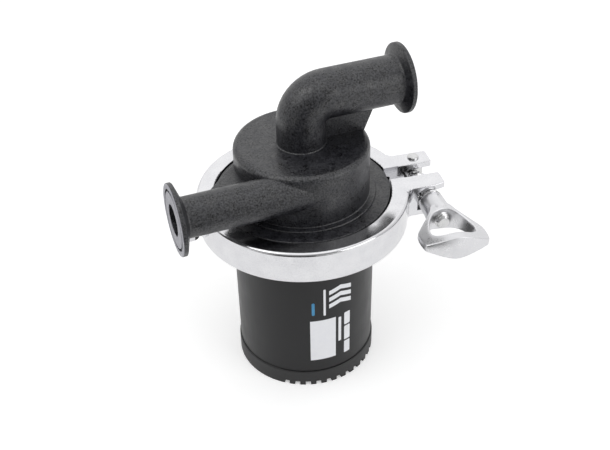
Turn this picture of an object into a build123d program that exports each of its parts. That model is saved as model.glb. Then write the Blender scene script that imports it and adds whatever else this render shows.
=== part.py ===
from build123d import *
import os
from math import asin, cos, radians, sin, sqrt, tan

# A magnetically coupled brewing pump that stands on its motor. Millimetres, +Z up.
# The origin is the centre of the flat underside, and +X is the way the inlet points.

# Fits and gaps
fit_gap = 0.05
loose_gap = 0.3
thrust_gap = 0.2
slip_gap = 0.1
run_in = 1.0

# Motor can
can_r = 35.0
can_taper = 0.3
can_wall = 2.5
seam_z = 9.0
seam_gap = 0.4
seam_inset = 0.5
spigot_length = 5.0
spigot_wall = 2.5
spigot_lap = 0.7

# Clamped flanges, which share the joint plane
joint_z = 91.5
flange_r = 45.5
flange_lip = 2.6
rim_thickness = 3.0
groove_angle = 20.0
head_flange_height = 8.1
motor_flange_height = 7.5
motor_flange_taper = 2.0
motor_flange_edge = 0.5

# Pump head
drum_r = 32.75
drum_height = 27.9
drum_fillet = 3.0
drum_wall = 3.5
drum_step = 3.25
drum_step_height = 0.8
head_edge = 0.4
riser_fillet = 0.7
riser_r = 11.8
riser_wall = 2.5
inlet_rise = 23.0
inlet_face_x = 51.8
bend_r = 12.3
outlet_r = 9.65
outlet_wall = 2.15
outlet_rise = 16.7
outlet_face_x = -69.9
outlet_inset = 0.05
outlet_bore_length = 45.0
throat_end_x = -6.0
port_flange_r = 17.0
port_rim = 2.2
port_groove_r = 13.25
port_groove_width = 1.1
port_groove_depth = 0.9
port_edge = 0.4
port_root = 1.2
groove_edge = 0.2
web_thickness = 3.0
web_reach = 40.0
web_root = 20.0
web_foot = 7.7
gusset_thickness = 3.0
rib_edge = 0.5
gusset_foot = 30.8
gusset_lean = 22.5
seal_width = 3.0
seal_height = 2.4
spider_wall = 1.5
spider_drop = 3.0
spider_depth = 7.0
spider_rib = 2.0
spider_rib_lift = 0.5
spider_ribs = 3

# Isolation can between the wet side and the dry side
cup_wall = 1.5
cup_depth = 47.5
cup_floor = 3.0
plateau_height = 12.5
plateau_wall = 2.7
isolation_flange = 2.5
isolation_inset = 3.3
boss_wall = 2.5
boss_height = 4.0
socket_floor = 2.0

# Rotor
shaft_r = 3.0
shaft_socket_depth = 5.0
shaft_chamfer = 0.3
bush_wall = 1.95
bush_length = 10.0
core_gap = 0.6
washer_thickness = 1.3
stem_wall = 4.0
magnet_wall = 5.6
magnet_length = 36.3
magnet_lift = 0.5
magnet_chamfer = 0.5
cup_gap = 1.2
collar_inset = 1.6
impeller_r = 24.0
impeller_plate = 2.0
impeller_gap = 0.8
nose_wall = 1.6
nose_inset = 0.8
vane_height = 12.0
vane_thickness = 1.8
vane_count = 6
vane_sweep = 52.0
vane_bow = 0.42
eye_r = 9.5
eye_lip = 1.7
eye_wall = 1.5
shroud_thickness = 1.5

# Stator
stator_lift = 10.0
stator_length = 28.0
stator_yoke = 4.4
tooth_count = 9
tooth_width = 4.6
tooth_tip = 2.0
slot_mouth = 2.4
stator_ledge = 2.2
coil_overhang = 4.3
coil_side = 3.0
coil_fillet = 1.6
coil_start_gap = 0.6

# Driver board
board_inset = 8.5
board_z = 18.0
board_thickness = 1.6
board_post_r = 3.0
board_post_inset = 5.0
board_post_turn = 90.0
board_posts = 3
board_screw_r = 1.2
board_screw_head_r = 2.3
board_screw_head = 1.4
board_screw_length = 6.0
cap_r = 4.0
cap_height = 9.0
cap_x = 8.0
cap_y = -13.0
chip_width = 6.2
chip_depth = 5.6
chip_height = 2.3
chip_pitch_x = 8.5
chip_pitch_y = 9.0
chip_columns = 3
chip_rows = 2
header_y = -19.0
header_width = 9.0
header_depth = 5.0
header_height = 5.0
lead_r = 0.9
lead_bend = 3.6
lead_inset = 7.0
lead_count = 3
lead_turn = -120.0

# Base cover
base_step = 0.65
base_edge = 0.6
base_floor = 2.4
base_rim = 3.5
notch_pitch = 9.0
notch_count = 11
notch_width = 2.7
notch_height = 2.2
notch_depth = 2.4
notch_centre = -82.0
notch_sides = (0, 180)
base_screws_count = 4
base_screw_turn = 45.0
base_screw_inset = 4.3
base_post_r = 3.8
base_screw_r = 1.5
base_screw_head_r = 2.8
base_screw_head = 2.0
base_screw_sink = 0.6
base_screw_thread = 8.0
base_screw_tip_gap = 1.0
base_boss_height = 10.0
base_boss_rib = 6.1

# Power inlet on the side away from the outlet
inlet_socket_z = 30.0
pad_r = 9.5
pad_standout = 2.4
pad_sink = 1.9
socket_flange = 2.0
socket_flange_wall = 2.5
socket_barrel_r = 6.0
socket_collar_wall = 1.4
socket_mouth_gap = 0.1
socket_mouth_depth = 5.6
socket_collar = 4.6
socket_core_wall = 1.2
socket_length = 11.8
pin_offset = 3.0
pin_r = 0.9
pin_standout = 4.2
pin_tail = 1.0
nut_across_flats = 15.0
nut_thickness = 3.0

# Clamp
lip_gap = 0.8
groove_gap = 1.5
clamp_wall = 5.0
clamp_height = 17.0
clamp_edge = 1.5
clamp_lip_edge = 0.5
clamp_turn = -6.0
clamp_split = 5.0
lug_overhang = 8.0
lug_thickness = 10.0
lug_front_thickness = 10.5
slot_play = 1.3
slot_back = 6.3
lug_seat = 3.5
lug_corner = 1.2
lug_edge = 0.6
lug_root = 3.0
bolt_offset = 8.8
pivot_set = 5.5
pin_shank_r = 2.5
pin_head_r = 3.0
pin_head = 1.2
pin_dome = 0.95
hinge_offset = 5.5
knuckle_r = 5.0
knuckle_arm = 13.0
knuckle_half = 3.4
hinge_split = 0.6

# Swing bolt, washer and wing nut
bolt_r = 4.0
bolt_reach = 46.0
bolt_chamfer = 0.8
eye_outer_r = 5.2
eye_play = 0.4
eye_edge = 0.8
washer_wall = 2.7
washer_depth = 1.5
nut_wall = 1.5
nut_swell = 2.0
nut_hub_length = 11.0
nut_edge = 0.6
wing_corner = 2.0
wing_start = 25.5
wing_half = 16.5
wing_side = 10.5
wing_crown = 2.5
wing_mid = 5.8
wing_tip = 1.3
wing_roll = -5.0
window_set = 3.9
window_wall = 2.8
window_top_half = 3.6
window_arm = 6.1
window_end_arm = 7.1
window_side = 4.2
window_corner = 3.0

# Worked out from the sizes above: motor and base
slope = tan(radians(groove_angle))
seam_top_z = seam_z + seam_gap
can_inner_r = can_r - can_wall
spigot_r = can_inner_r + spigot_lap
spigot_top_z = seam_z + spigot_length
motor_hub_z = joint_z - motor_flange_height
hub_r = flange_r - flange_lip
base_screw_radius = can_inner_r - base_screw_inset
board_r = can_inner_r - board_inset
board_post_radius = board_r - board_post_inset
board_top_z = board_z + board_thickness
pad_y = can_r + pad_standout
pad_back_y = can_inner_r - pad_sink
socket_axis = Axis((0, 0, inlet_socket_z), (0, 1, 0))

# Worked out: pump head
head_hub_z = joint_z + head_flange_height
drum_top_z = head_hub_z + drum_height
chamber_r = drum_r - drum_wall
chamber_top_z = drum_top_z - drum_wall
inlet_z = drum_top_z + inlet_rise
riser_bore_r = riser_r - riser_wall
outlet_z = head_hub_z + outlet_rise
outlet_y = -(drum_r - outlet_r - outlet_inset)
outlet_bore_r = outlet_r - outlet_wall
throat_x = outlet_face_x + outlet_bore_length
throat_r = sqrt(chamber_r**2 - throat_end_x**2) + outlet_y
outlet_axis = Axis((0, outlet_y, outlet_z), (1, 0, 0))
inlet_axis = Axis((0, 0, inlet_z), (1, 0, 0))

# Worked out: shaft, rotor, isolation can and stator
isolation_z = joint_z - isolation_flange
isolation_flange_r = flange_r - isolation_inset
bush_r = shaft_r + fit_gap + bush_wall
boss_r = shaft_r + boss_wall
spider_r = shaft_r + spider_wall
magnet_bore_r = bush_r + stem_wall
magnet_r = magnet_bore_r + magnet_wall
cup_r = magnet_r + cup_gap
cup_outer_r = cup_r + cup_wall
cup_floor_z = joint_z - cup_depth
cup_inner_z = cup_floor_z + cup_floor
boss_top_z = cup_inner_z + boss_height
plateau_z = joint_z + plateau_height
plateau_r = chamber_r - loose_gap
seal_r = (plateau_r + isolation_flange_r) / 2
shaft_base_z = cup_floor_z + socket_floor
spider_z = chamber_top_z - spider_drop
shaft_top_z = spider_z + shaft_socket_depth
rotor_base_z = boss_top_z + washer_thickness + thrust_gap
rotor_top_z = spider_z - washer_thickness - thrust_gap
magnet_base_z = rotor_base_z + magnet_lift
magnet_top_z = magnet_base_z + magnet_length
plate_z = plateau_z + impeller_gap
vane_z = plate_z + impeller_plate
shroud_z = vane_z + vane_height
stator_r = can_inner_r - slip_gap
stator_bore_r = cup_outer_r + loose_gap
stator_base_z = cup_floor_z + stator_lift
stator_top_z = stator_base_z + stator_length

# Worked out: clamp, bolt and nut
clamp_lip_r = hub_r + lip_gap
clamp_groove_r = flange_r + groove_gap
clamp_outer_r = clamp_groove_r + clamp_wall
clamp_rise = clamp_height / 2
turn = radians(clamp_turn)
lug_dir = Vector(cos(turn), sin(turn), 0)
bolt_dir = Vector(sin(turn), -cos(turn), 0)
bolt_x = clamp_outer_r + bolt_offset
lug_tip_x = bolt_x + lug_overhang
lug_base_x = clamp_outer_r - lug_seat
lug_slot_x = bolt_x - slot_back
lug_slot = 2 * (bolt_r + slot_play)
lug_face_y = clamp_split + lug_front_thickness
pivot_y = clamp_split + pivot_set
eye_thickness = lug_slot - 2 * eye_play
hinge_x = -(clamp_outer_r + hinge_offset)
washer_r = bolt_r + washer_wall
washer_start = pivot_y + lug_face_y + loose_gap
nut_hub_r = bolt_r + nut_wall
nut_barrel_r = nut_hub_r + nut_swell
nut_start = washer_start + washer_depth + fit_gap
wing_end = wing_start + wing_side
window_start = nut_hub_length + window_set
window_end = wing_end - window_wall
window_shoulder = window_end - window_side
window_half = wing_half - window_arm
window_end_half = wing_half - window_end_arm
pivot_point = lug_dir * bolt_x - bolt_dir * pivot_y + Vector(0, 0, joint_z)
hinge_point = lug_dir * hinge_x + Vector(0, 0, joint_z)

# Plan of the clamp at the joint plane, and the planes of its bolt
clamp_plan = Plane(origin=(0, 0, joint_z), x_dir=lug_dir, z_dir=(0, 0, 1))
clamp_section = Plane(origin=(0, 0, joint_z), x_dir=lug_dir, z_dir=bolt_dir)
bolt_section = Plane(origin=pivot_point, x_dir=lug_dir, z_dir=bolt_dir)
wing_dir = lug_dir * cos(radians(wing_roll)) + Vector(0, 0, sin(radians(wing_roll)))
nut_origin = pivot_point + bolt_dir * nut_start
wing_section = Plane(origin=nut_origin, x_dir=wing_dir, z_dir=bolt_dir)
wing_plan = Plane(origin=nut_origin, x_dir=wing_dir, z_dir=wing_dir.cross(bolt_dir))


def port_section(face_x, inward, tube_r, start_x, axis_z):
    """Half section of a port: tube, 20 degree clamp flange and gasket groove."""
    cone = (port_flange_r - tube_r) * slope
    groove_end = port_groove_r + port_groove_width
    back_x = face_x + inward * port_rim
    floor_x = face_x + inward * port_groove_depth
    rim_y = axis_z + port_flange_r
    with BuildSketch() as section:
        with BuildLine():
            Polyline(
                (start_x, axis_z),
                (start_x, axis_z + tube_r),
                (back_x + inward * cone, axis_z + tube_r),
                (back_x, rim_y),
                (face_x, rim_y),
                (face_x, axis_z + groove_end),
                (floor_x, axis_z + groove_end),
                (floor_x, axis_z + port_groove_r),
                (face_x, axis_z + port_groove_r),
                (face_x, axis_z),
                close=True,
            )
        make_face()
        rims = section.vertices().filter_by(lambda v: v.Y > rim_y - fit_gap)
        fillet(rims, radius=port_edge)
        tubes = section.vertices().filter_by(lambda v: abs(v.Y - axis_z - tube_r) < fit_gap)
        fillet(tubes.sort_by(lambda v: abs(v.X - start_x))[-1], radius=port_root)
        faces = section.vertices().filter_by(lambda v: abs(v.X - face_x) < fit_gap)
        lands = faces.filter_by(lambda v: groove_end + fit_gap > v.Y - axis_z > port_groove_r - fit_gap)
        fillet(lands, radius=groove_edge)
    return section.sketch


def inlet_path(low_z):
    """Path of the inlet: up the riser, round the bend and out along +X."""
    with BuildLine(Plane.XZ) as path:
        riser = Line((0, low_z), (0, inlet_z - bend_r))
        bend = JernArc(start=riser @ 1, tangent=(0, 1), radius=bend_r, arc_size=-90)
        Line(bend @ 1, (inlet_face_x, inlet_z))
    return path.line


riser_path = inlet_path(chamber_top_z)
passage_path = inlet_path(chamber_top_z - run_in)

# Moulded pump head: flange, drum, tangential outlet and swept inlet elbow
outer_cone = (flange_r - hub_r) * slope
step_r = drum_r + drum_step
step_z = head_hub_z + drum_step_height
web_top_y = drum_r - web_root
web_low_y = outlet_y + web_foot
spider_rib_z = chamber_top_z + spider_rib_lift
gusset_rise = inlet_z - riser_r / 2 - chamber_top_z
gusset_top = gusset_foot + gusset_rise * tan(radians(gusset_lean))


def gusset_plate():
    """Plate under the inlet tube, its free edge rounded."""
    with BuildPart() as plate:
        with BuildSketch(Plane.XZ):
            with BuildLine():
                Polyline(
                    (riser_r / 2, chamber_top_z),
                    (gusset_foot, chamber_top_z),
                    (gusset_top, inlet_z - riser_r / 2),
                    (riser_r / 2, inlet_z - riser_r / 2),
                    close=True,
                )
            make_face()
        extrude(amount=gusset_thickness / 2, both=True)
        free_face = plate.faces().sort_by(Axis.X)[-1]
        fillet(free_face.edges().filter_by(Axis.Y, reverse=True), radius=rib_edge)
    return plate.part


def web_plate():
    """Web in the corner between the drum and the outlet tube, its free edge rounded."""
    with BuildPart() as plate:
        with BuildSketch(Plane.XY.offset(outlet_z - web_thickness / 2)):
            with BuildLine():
                Polyline(
                    (web_top_y - web_reach, web_top_y),
                    (web_low_y - web_reach, web_low_y),
                    (web_low_y - web_reach, outlet_y),
                    (0, outlet_y),
                    (0, web_top_y),
                    close=True,
                )
            make_face()
        extrude(amount=web_thickness)
        free_face = plate.faces().sort_by(Axis((0, 0, 0), (-1, 1, 0)))[-1]
        fillet(free_face.edges().filter_by(Axis.Z, reverse=True), radius=rib_edge)
    return plate.part


with BuildPart() as pump_head:
    with BuildSketch(Plane.XZ) as section:
        with BuildLine():
            Polyline(
                (0, joint_z),
                (flange_r, joint_z),
                (flange_r, joint_z + rim_thickness),
                (hub_r, joint_z + rim_thickness + outer_cone),
                (hub_r, head_hub_z),
                (step_r, head_hub_z),
                (step_r, step_z),
                (drum_r, step_z),
                (drum_r, drum_top_z),
                (0, drum_top_z),
                close=True,
            )
        make_face()
        edges = section.vertices().filter_by(lambda v: v.X > hub_r - fit_gap and v.Y > joint_z + run_in)
        fillet(edges.group_by(Axis.Y)[0] + edges.group_by(Axis.Y)[-1], radius=head_edge)
        steps = section.vertices().filter_by(lambda v: abs(v.Y - step_z) < fit_gap)
        fillet(steps, radius=head_edge)
    revolve(axis=Axis.Z)
    fillet(pump_head.edges().group_by(Axis.Z)[-1], radius=drum_fillet)
    # Swept elbow, with a small fillet where the riser stands on the drum
    with BuildSketch(Plane.XY.offset(chamber_top_z)):
        Circle(riser_r)
    sweep(path=riser_path)
    rings = pump_head.edges().filter_by(GeomType.CIRCLE)
    roots = rings.filter_by(lambda e: abs(e.radius - riser_r) < fit_gap)
    fillet(roots.group_by(Axis.Z)[0], radius=riser_fillet)
    # Inlet port, and the outlet port along -X with its wall tangent to the drum
    with BuildSketch(Plane.XZ):
        add(port_section(inlet_face_x, -1, riser_r, bend_r, inlet_z))
    revolve(axis=inlet_axis)
    with BuildSketch(Plane.XZ.offset(-outlet_y)):
        add(port_section(outlet_face_x, 1, outlet_r, 0, outlet_z))
    revolve(axis=outlet_axis)
    add(web_plate())
    add(gusset_plate())
    # Pump chamber, seal groove and the two passages, the outlet's with a tapered throat
    with BuildSketch(Plane.XY.offset(joint_z)):
        Circle(chamber_r)
    extrude(amount=chamber_top_z - joint_z, mode=Mode.SUBTRACT)
    with BuildSketch(Plane.XY.offset(joint_z)):
        Circle(seal_r + seal_width / 2 + slip_gap)
        Circle(seal_r - seal_width / 2 - slip_gap, mode=Mode.SUBTRACT)
    extrude(amount=seal_height, mode=Mode.SUBTRACT)
    with BuildSketch(Plane.XY.offset(chamber_top_z - run_in)):
        Circle(riser_bore_r)
    sweep(path=passage_path, mode=Mode.SUBTRACT)
    with BuildSketch(Plane.XZ.offset(-outlet_y)):
        with BuildLine():
            Polyline(
                (outlet_face_x, outlet_z),
                (outlet_face_x, outlet_z + outlet_bore_r),
                (throat_x, outlet_z + outlet_bore_r),
                (throat_end_x, outlet_z + throat_r),
                (throat_end_x, outlet_z),
                close=True,
            )
        make_face()
    revolve(axis=outlet_axis, mode=Mode.SUBTRACT)
    # Spider in the eye of the chamber, which holds the front end of the shaft
    with BuildSketch(Plane.XY.offset(spider_z)):
        Circle(spider_r)
    extrude(amount=spider_depth)
    with BuildSketch(Plane.XY.offset(spider_rib_z)):
        with PolarLocations((spider_r + riser_bore_r) / 2, spider_ribs):
            Rectangle(riser_bore_r - spider_r + 2 * run_in, spider_rib)
    extrude(amount=spider_z + spider_depth - spider_rib_z)
    with BuildSketch(Plane.XY.offset(spider_z)):
        Circle(shaft_r)
    extrude(amount=shaft_socket_depth, mode=Mode.SUBTRACT)
pump_head.part.label = "pump_head"

# Seal ring squeezed in the head's groove
with BuildPart() as head_seal:
    with BuildSketch(Plane.XZ):
        with Locations((seal_r, joint_z + seal_height / 2)):
            Rectangle(seal_width, seal_height)
    revolve(axis=Axis.Z)
    fillet(head_seal.edges(), radius=seal_height / 3)
head_seal.part.label = "head_seal"

# Isolation can: clamped flange, raised chamber floor and thin cup for the rotor
with BuildPart() as isolation_can:
    with BuildSketch(Plane.XZ):
        with BuildLine():
            Polyline(
                (0, cup_floor_z),
                (cup_outer_r, cup_floor_z),
                (cup_outer_r, plateau_z - plateau_wall),
                (plateau_r - plateau_wall, plateau_z - plateau_wall),
                (plateau_r - plateau_wall, isolation_z),
                (isolation_flange_r, isolation_z),
                (isolation_flange_r, joint_z),
                (plateau_r, joint_z),
                (plateau_r, plateau_z),
                (cup_r, plateau_z),
                (cup_r, cup_inner_z),
                (boss_r, cup_inner_z),
                (boss_r, boss_top_z),
                (shaft_r, boss_top_z),
                (shaft_r, shaft_base_z),
                (0, shaft_base_z),
                close=True,
            )
        make_face()
    revolve(axis=Axis.Z)
isolation_can.part.label = "isolation_can"

# Fixed ceramic shaft
with BuildPart() as pump_shaft:
    with BuildSketch(Plane.XY.offset(shaft_base_z)):
        Circle(shaft_r)
    extrude(amount=shaft_top_z - shaft_base_z)
    chamfer(pump_shaft.edges().filter_by(GeomType.CIRCLE), length=shaft_chamfer)
pump_shaft.part.label = "pump_shaft"


def shaft_ring(low_z, length, outer_r):
    """Ring that stands round the shaft with a running fit."""
    with BuildPart() as ring:
        with BuildSketch(Plane.XY.offset(low_z)):
            Circle(outer_r)
            Circle(shaft_r + fit_gap, mode=Mode.SUBTRACT)
        extrude(amount=length)
    return ring.part


with BuildPart() as rear_thrust_washer:
    add(shaft_ring(boss_top_z, washer_thickness, boss_r))
rear_thrust_washer.part.label = "rear_thrust_washer"

with BuildPart() as front_thrust_washer:
    add(shaft_ring(spider_z - washer_thickness, washer_thickness, boss_r))
front_thrust_washer.part.label = "front_thrust_washer"

with BuildPart() as rear_bush:
    add(shaft_ring(rotor_base_z, bush_length, bush_r))
rear_bush.part.label = "rear_bush"

with BuildPart() as front_bush:
    add(shaft_ring(rotor_top_z - bush_length, bush_length, bush_r))
front_bush.part.label = "front_bush"

# Closed impeller with swept-back vanes, moulded in one with the rotor's stem
stem_r = magnet_bore_r - slip_gap
core_r = shaft_r + core_gap
collar_r = magnet_r - collar_inset
vane_end_r = impeller_r - vane_thickness
vane_mid_r = (eye_r + impeller_r) / 2
vane_mid = radians(vane_sweep * vane_bow)
vane_end = radians(vane_sweep)
with BuildLine() as vane_line:
    ThreePointArc(
        (eye_r + vane_thickness / 2, 0),
        (vane_mid_r * cos(vane_mid), vane_mid_r * sin(vane_mid)),
        (vane_end_r * cos(vane_end), vane_end_r * sin(vane_end)),
    )
with BuildPart() as impeller:
    with BuildSketch(Plane.XZ):
        with BuildLine():
            Polyline(
                (core_r, rotor_base_z + bush_length),
                (bush_r, rotor_base_z + bush_length),
                (bush_r, rotor_base_z),
                (stem_r, rotor_base_z),
                (stem_r, magnet_top_z),
                (collar_r, magnet_top_z),
                (collar_r, plate_z),
                (impeller_r, plate_z),
                (impeller_r, vane_z),
                (eye_r - nose_inset, vane_z),
                (bush_r + nose_wall, rotor_top_z),
                (bush_r, rotor_top_z),
                (bush_r, rotor_top_z - bush_length),
                (core_r, rotor_top_z - bush_length),
                close=True,
            )
        make_face()
    revolve(axis=Axis.Z)
    with BuildSketch(Plane.XY.offset(vane_z)):
        with PolarLocations(0, vane_count):
            SlotArc(vane_line.edges()[0], vane_thickness)
    extrude(amount=vane_height)
    with BuildSketch(Plane.XY.offset(shroud_z)):
        Circle(impeller_r)
        Circle(eye_r, mode=Mode.SUBTRACT)
    extrude(amount=shroud_thickness)
    with BuildSketch(Plane.XY.offset(shroud_z + shroud_thickness)):
        Circle(eye_r + eye_wall)
        Circle(eye_r, mode=Mode.SUBTRACT)
    extrude(amount=eye_lip)
impeller.part.label = "impeller"

# Ring magnet on the stem
with BuildPart() as rotor_magnet:
    with BuildSketch(Plane.XY.offset(magnet_base_z)):
        Circle(magnet_r)
        Circle(magnet_bore_r, mode=Mode.SUBTRACT)
    extrude(amount=magnet_length)
    chamfer(rotor_magnet.edges().group_by(Axis.Z)[0], length=magnet_chamfer)
rotor_magnet.part.label = "rotor_magnet"

# Motor housing: can, clamp flange, ledge for the stator, screw bosses and socket pad
recess_r = isolation_flange_r + slip_gap
stator_ledge_r = can_inner_r - stator_ledge
boss_wall_r = can_inner_r + run_in
with BuildPart() as motor_housing:
    with BuildSketch(Plane.XZ):
        with BuildLine():
            Polyline(
                (spigot_r, seam_top_z),
                (can_r, seam_top_z),
                (can_r + can_taper, motor_hub_z - motor_flange_taper),
                (hub_r - motor_flange_edge, motor_hub_z),
                (hub_r, motor_hub_z + motor_flange_edge),
                (hub_r, joint_z - rim_thickness - outer_cone),
                (flange_r, joint_z - rim_thickness),
                (flange_r, joint_z),
                (recess_r, joint_z),
                (recess_r, isolation_z),
                (stator_ledge_r, isolation_z),
                (stator_ledge_r, stator_top_z),
                (can_inner_r, stator_top_z),
                (can_inner_r, spigot_top_z),
                (spigot_r, spigot_top_z),
                close=True,
            )
        make_face()
    revolve(axis=Axis.Z)
    # Bosses for the base screws, joined to the wall by short ribs
    with BuildSketch(Plane.XY.offset(spigot_top_z)):
        with PolarLocations(base_screw_radius, base_screws_count, start_angle=base_screw_turn):
            Circle(base_post_r)
        rib_mid_r = (base_screw_radius + boss_wall_r) / 2
        with PolarLocations(rib_mid_r, base_screws_count, start_angle=base_screw_turn):
            Rectangle(boss_wall_r - base_screw_radius, base_boss_rib)
    extrude(amount=base_boss_height)
    # Flat pad for the power inlet
    with BuildSketch(Plane.XZ.offset(-pad_back_y)):
        with Locations((0, inlet_socket_z)):
            Circle(pad_r)
    extrude(amount=-(pad_y - pad_back_y))
    with BuildSketch(Plane.XZ.offset(-pad_y)):
        with Locations((0, inlet_socket_z)):
            Circle(socket_barrel_r + fit_gap)
    extrude(amount=pad_y - pad_back_y, mode=Mode.SUBTRACT)
    with BuildSketch(Plane.XY.offset(spigot_top_z)):
        with PolarLocations(base_screw_radius, base_screws_count, start_angle=base_screw_turn):
            Circle(base_screw_r)
    extrude(amount=base_screw_thread, mode=Mode.SUBTRACT)
motor_housing.part.label = "motor_housing"

# Laminated stator core with one tooth for each coil
yoke_r = stator_r - stator_yoke
tooth_mid_r = (stator_bore_r + yoke_r) / 2
with BuildPart() as stator_core:
    with BuildSketch(Plane.XY.offset(stator_base_z)):
        Circle(stator_r)
        Circle(yoke_r, mode=Mode.SUBTRACT)
        with PolarLocations(tooth_mid_r, tooth_count):
            Rectangle(yoke_r - stator_bore_r, tooth_width)
        Circle(stator_bore_r + tooth_tip)
        with PolarLocations(stator_bore_r + tooth_tip / 2, tooth_count, start_angle=180 / tooth_count):
            Rectangle(tooth_tip * 3, slot_mouth, mode=Mode.SUBTRACT)
        Circle(stator_bore_r, mode=Mode.SUBTRACT)
    extrude(amount=stator_length)
stator_core.part.label = "stator_core"

# One coil round each tooth
coil_inner_r = stator_bore_r + tooth_tip + coil_start_gap
coil_outer_r = yoke_r - coil_start_gap
coil_length = stator_length + 2 * coil_overhang
coil_mid_z = stator_base_z + stator_length / 2
with BuildPart() as stator_coils:
    for number in range(tooth_count):
        angle = 360 / tooth_count * number
        plane = Plane(
            origin=(coil_inner_r * cos(radians(angle)), coil_inner_r * sin(radians(angle)), coil_mid_z),
            x_dir=(-sin(radians(angle)), cos(radians(angle)), 0),
            z_dir=(cos(radians(angle)), sin(radians(angle)), 0),
        )
        with BuildSketch(plane):
            RectangleRounded(tooth_width + 2 * coil_side, coil_length, coil_fillet)
            Rectangle(tooth_width + 2 * slip_gap, stator_length + 2 * slip_gap, mode=Mode.SUBTRACT)
        extrude(amount=coil_outer_r - coil_inner_r)
stator_coils.part.label = "stator_coils"

# Leads from the board up to three of the coils
coil_low_z = coil_mid_z - coil_length / 2
with BuildPart() as phase_leads:
    with BuildSketch(Plane.XY.offset(board_top_z)):
        with PolarLocations(coil_inner_r + 2 * lead_r, lead_count, start_angle=lead_turn):
            Circle(lead_r)
    extrude(amount=coil_low_z - board_top_z)
phase_leads.part.label = "phase_leads"

# Round driver board on the base cover's posts
with BuildPart() as driver_board:
    with BuildSketch(Plane.XY.offset(board_z)):
        Circle(board_r)
        with PolarLocations(board_post_radius, board_posts, start_angle=board_post_turn):
            Circle(board_screw_r + slip_gap, mode=Mode.SUBTRACT)
    extrude(amount=board_thickness)
driver_board.part.label = "driver_board"

# Capacitors, switches, controller and plug header on the board
with BuildPart() as board_parts:
    with BuildSketch(Plane.XY.offset(board_top_z)):
        with Locations((-cap_x, cap_y), (cap_x, cap_y)):
            Circle(cap_r)
    extrude(amount=cap_height)
    with BuildSketch(Plane.XY.offset(board_top_z)):
        with GridLocations(chip_pitch_x, chip_pitch_y, chip_columns, chip_rows):
            Rectangle(chip_width, chip_depth)
    extrude(amount=chip_height)
    with BuildSketch(Plane.XY.offset(board_top_z)):
        with Locations((0, header_y)):
            Rectangle(header_width, header_depth)
    extrude(amount=header_height)
board_parts.part.label = "board_parts"

with BuildPart() as board_screws:
    with BuildSketch(Plane.XY.offset(board_top_z)):
        with PolarLocations(board_post_radius, board_posts, start_angle=board_post_turn):
            Circle(board_screw_head_r)
    extrude(amount=board_screw_head)
    with BuildSketch(Plane.XY.offset(board_top_z - board_screw_length)):
        with PolarLocations(board_post_radius, board_posts, start_angle=board_post_turn):
            Circle(board_screw_r)
    extrude(amount=board_screw_length)
board_screws.part.label = "board_screws"

# Base cover: floor, rim with grip notches front and back, spigot and posts
base_r = can_r + base_step
spigot_outer_r = spigot_r - slip_gap
with BuildPart() as base_cover:
    with BuildSketch(Plane.XY):
        Circle(base_r)
    extrude(amount=seam_z)
    fillet(base_cover.edges().group_by(Axis.Z)[-1], radius=base_edge)
    with BuildSketch(Plane.XY.offset(base_floor)):
        Circle(base_r - base_rim)
    extrude(amount=seam_z - base_floor, mode=Mode.SUBTRACT)
    with BuildSketch(Plane.XY.offset(base_floor)):
        Circle(spigot_outer_r)
        Circle(spigot_outer_r - spigot_wall, mode=Mode.SUBTRACT)
    extrude(amount=spigot_top_z - base_floor)
    # Grip notches round the bottom edge
    with BuildSketch(Plane.XY):
        for side in notch_sides:
            for number in range(notch_count):
                angle = notch_centre + side + (number - (notch_count - 1) / 2) * notch_pitch
                with PolarLocations(base_r, 1, start_angle=angle):
                    Rectangle(notch_depth * 2, notch_width)
    extrude(amount=notch_height, mode=Mode.SUBTRACT)
    # Screw posts round the rim and board posts inside
    with BuildSketch(Plane.XY.offset(base_floor)):
        with PolarLocations(base_screw_radius, base_screws_count, start_angle=base_screw_turn):
            Circle(base_post_r)
    extrude(amount=spigot_top_z - base_floor)
    with BuildSketch(Plane.XY.offset(base_floor)):
        with PolarLocations(board_post_radius, board_posts, start_angle=board_post_turn):
            Circle(board_post_r)
    extrude(amount=board_z - base_floor)
    with BuildSketch(Plane.XY):
        with PolarLocations(base_screw_radius, base_screws_count, start_angle=base_screw_turn):
            Circle(base_screw_r + slip_gap)
    extrude(amount=spigot_top_z, mode=Mode.SUBTRACT)
    with BuildSketch(Plane.XY):
        with PolarLocations(base_screw_radius, base_screws_count, start_angle=base_screw_turn):
            Circle(base_screw_head_r + slip_gap)
    extrude(amount=base_screw_sink + base_screw_head, mode=Mode.SUBTRACT)
    with BuildSketch(Plane.XY.offset(board_top_z - board_screw_length)):
        with PolarLocations(board_post_radius, board_posts, start_angle=board_post_turn):
            Circle(board_screw_r)
    extrude(amount=board_screw_length, mode=Mode.SUBTRACT)
base_cover.part.label = "base_cover"

# Flat gasket in the seam between can and base cover
with BuildPart() as base_seal:
    with BuildSketch(Plane.XY.offset(seam_z)):
        Circle(can_r - seam_inset)
        Circle(spigot_r + slip_gap, mode=Mode.SUBTRACT)
    extrude(amount=seam_gap)
base_seal.part.label = "base_seal"

base_shank_z = base_screw_sink + base_screw_head
base_tip_z = spigot_top_z + base_screw_thread - base_screw_tip_gap
with BuildPart() as base_screws:
    with BuildSketch(Plane.XY.offset(base_screw_sink)):
        with PolarLocations(base_screw_radius, base_screws_count, start_angle=base_screw_turn):
            Circle(base_screw_head_r)
    extrude(amount=base_screw_head)
    with BuildSketch(Plane.XY.offset(base_shank_z)):
        with PolarLocations(base_screw_radius, base_screws_count, start_angle=base_screw_turn):
            Circle(base_screw_r)
    extrude(amount=base_tip_z - base_shank_z)
base_screws.part.label = "base_screws"

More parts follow.
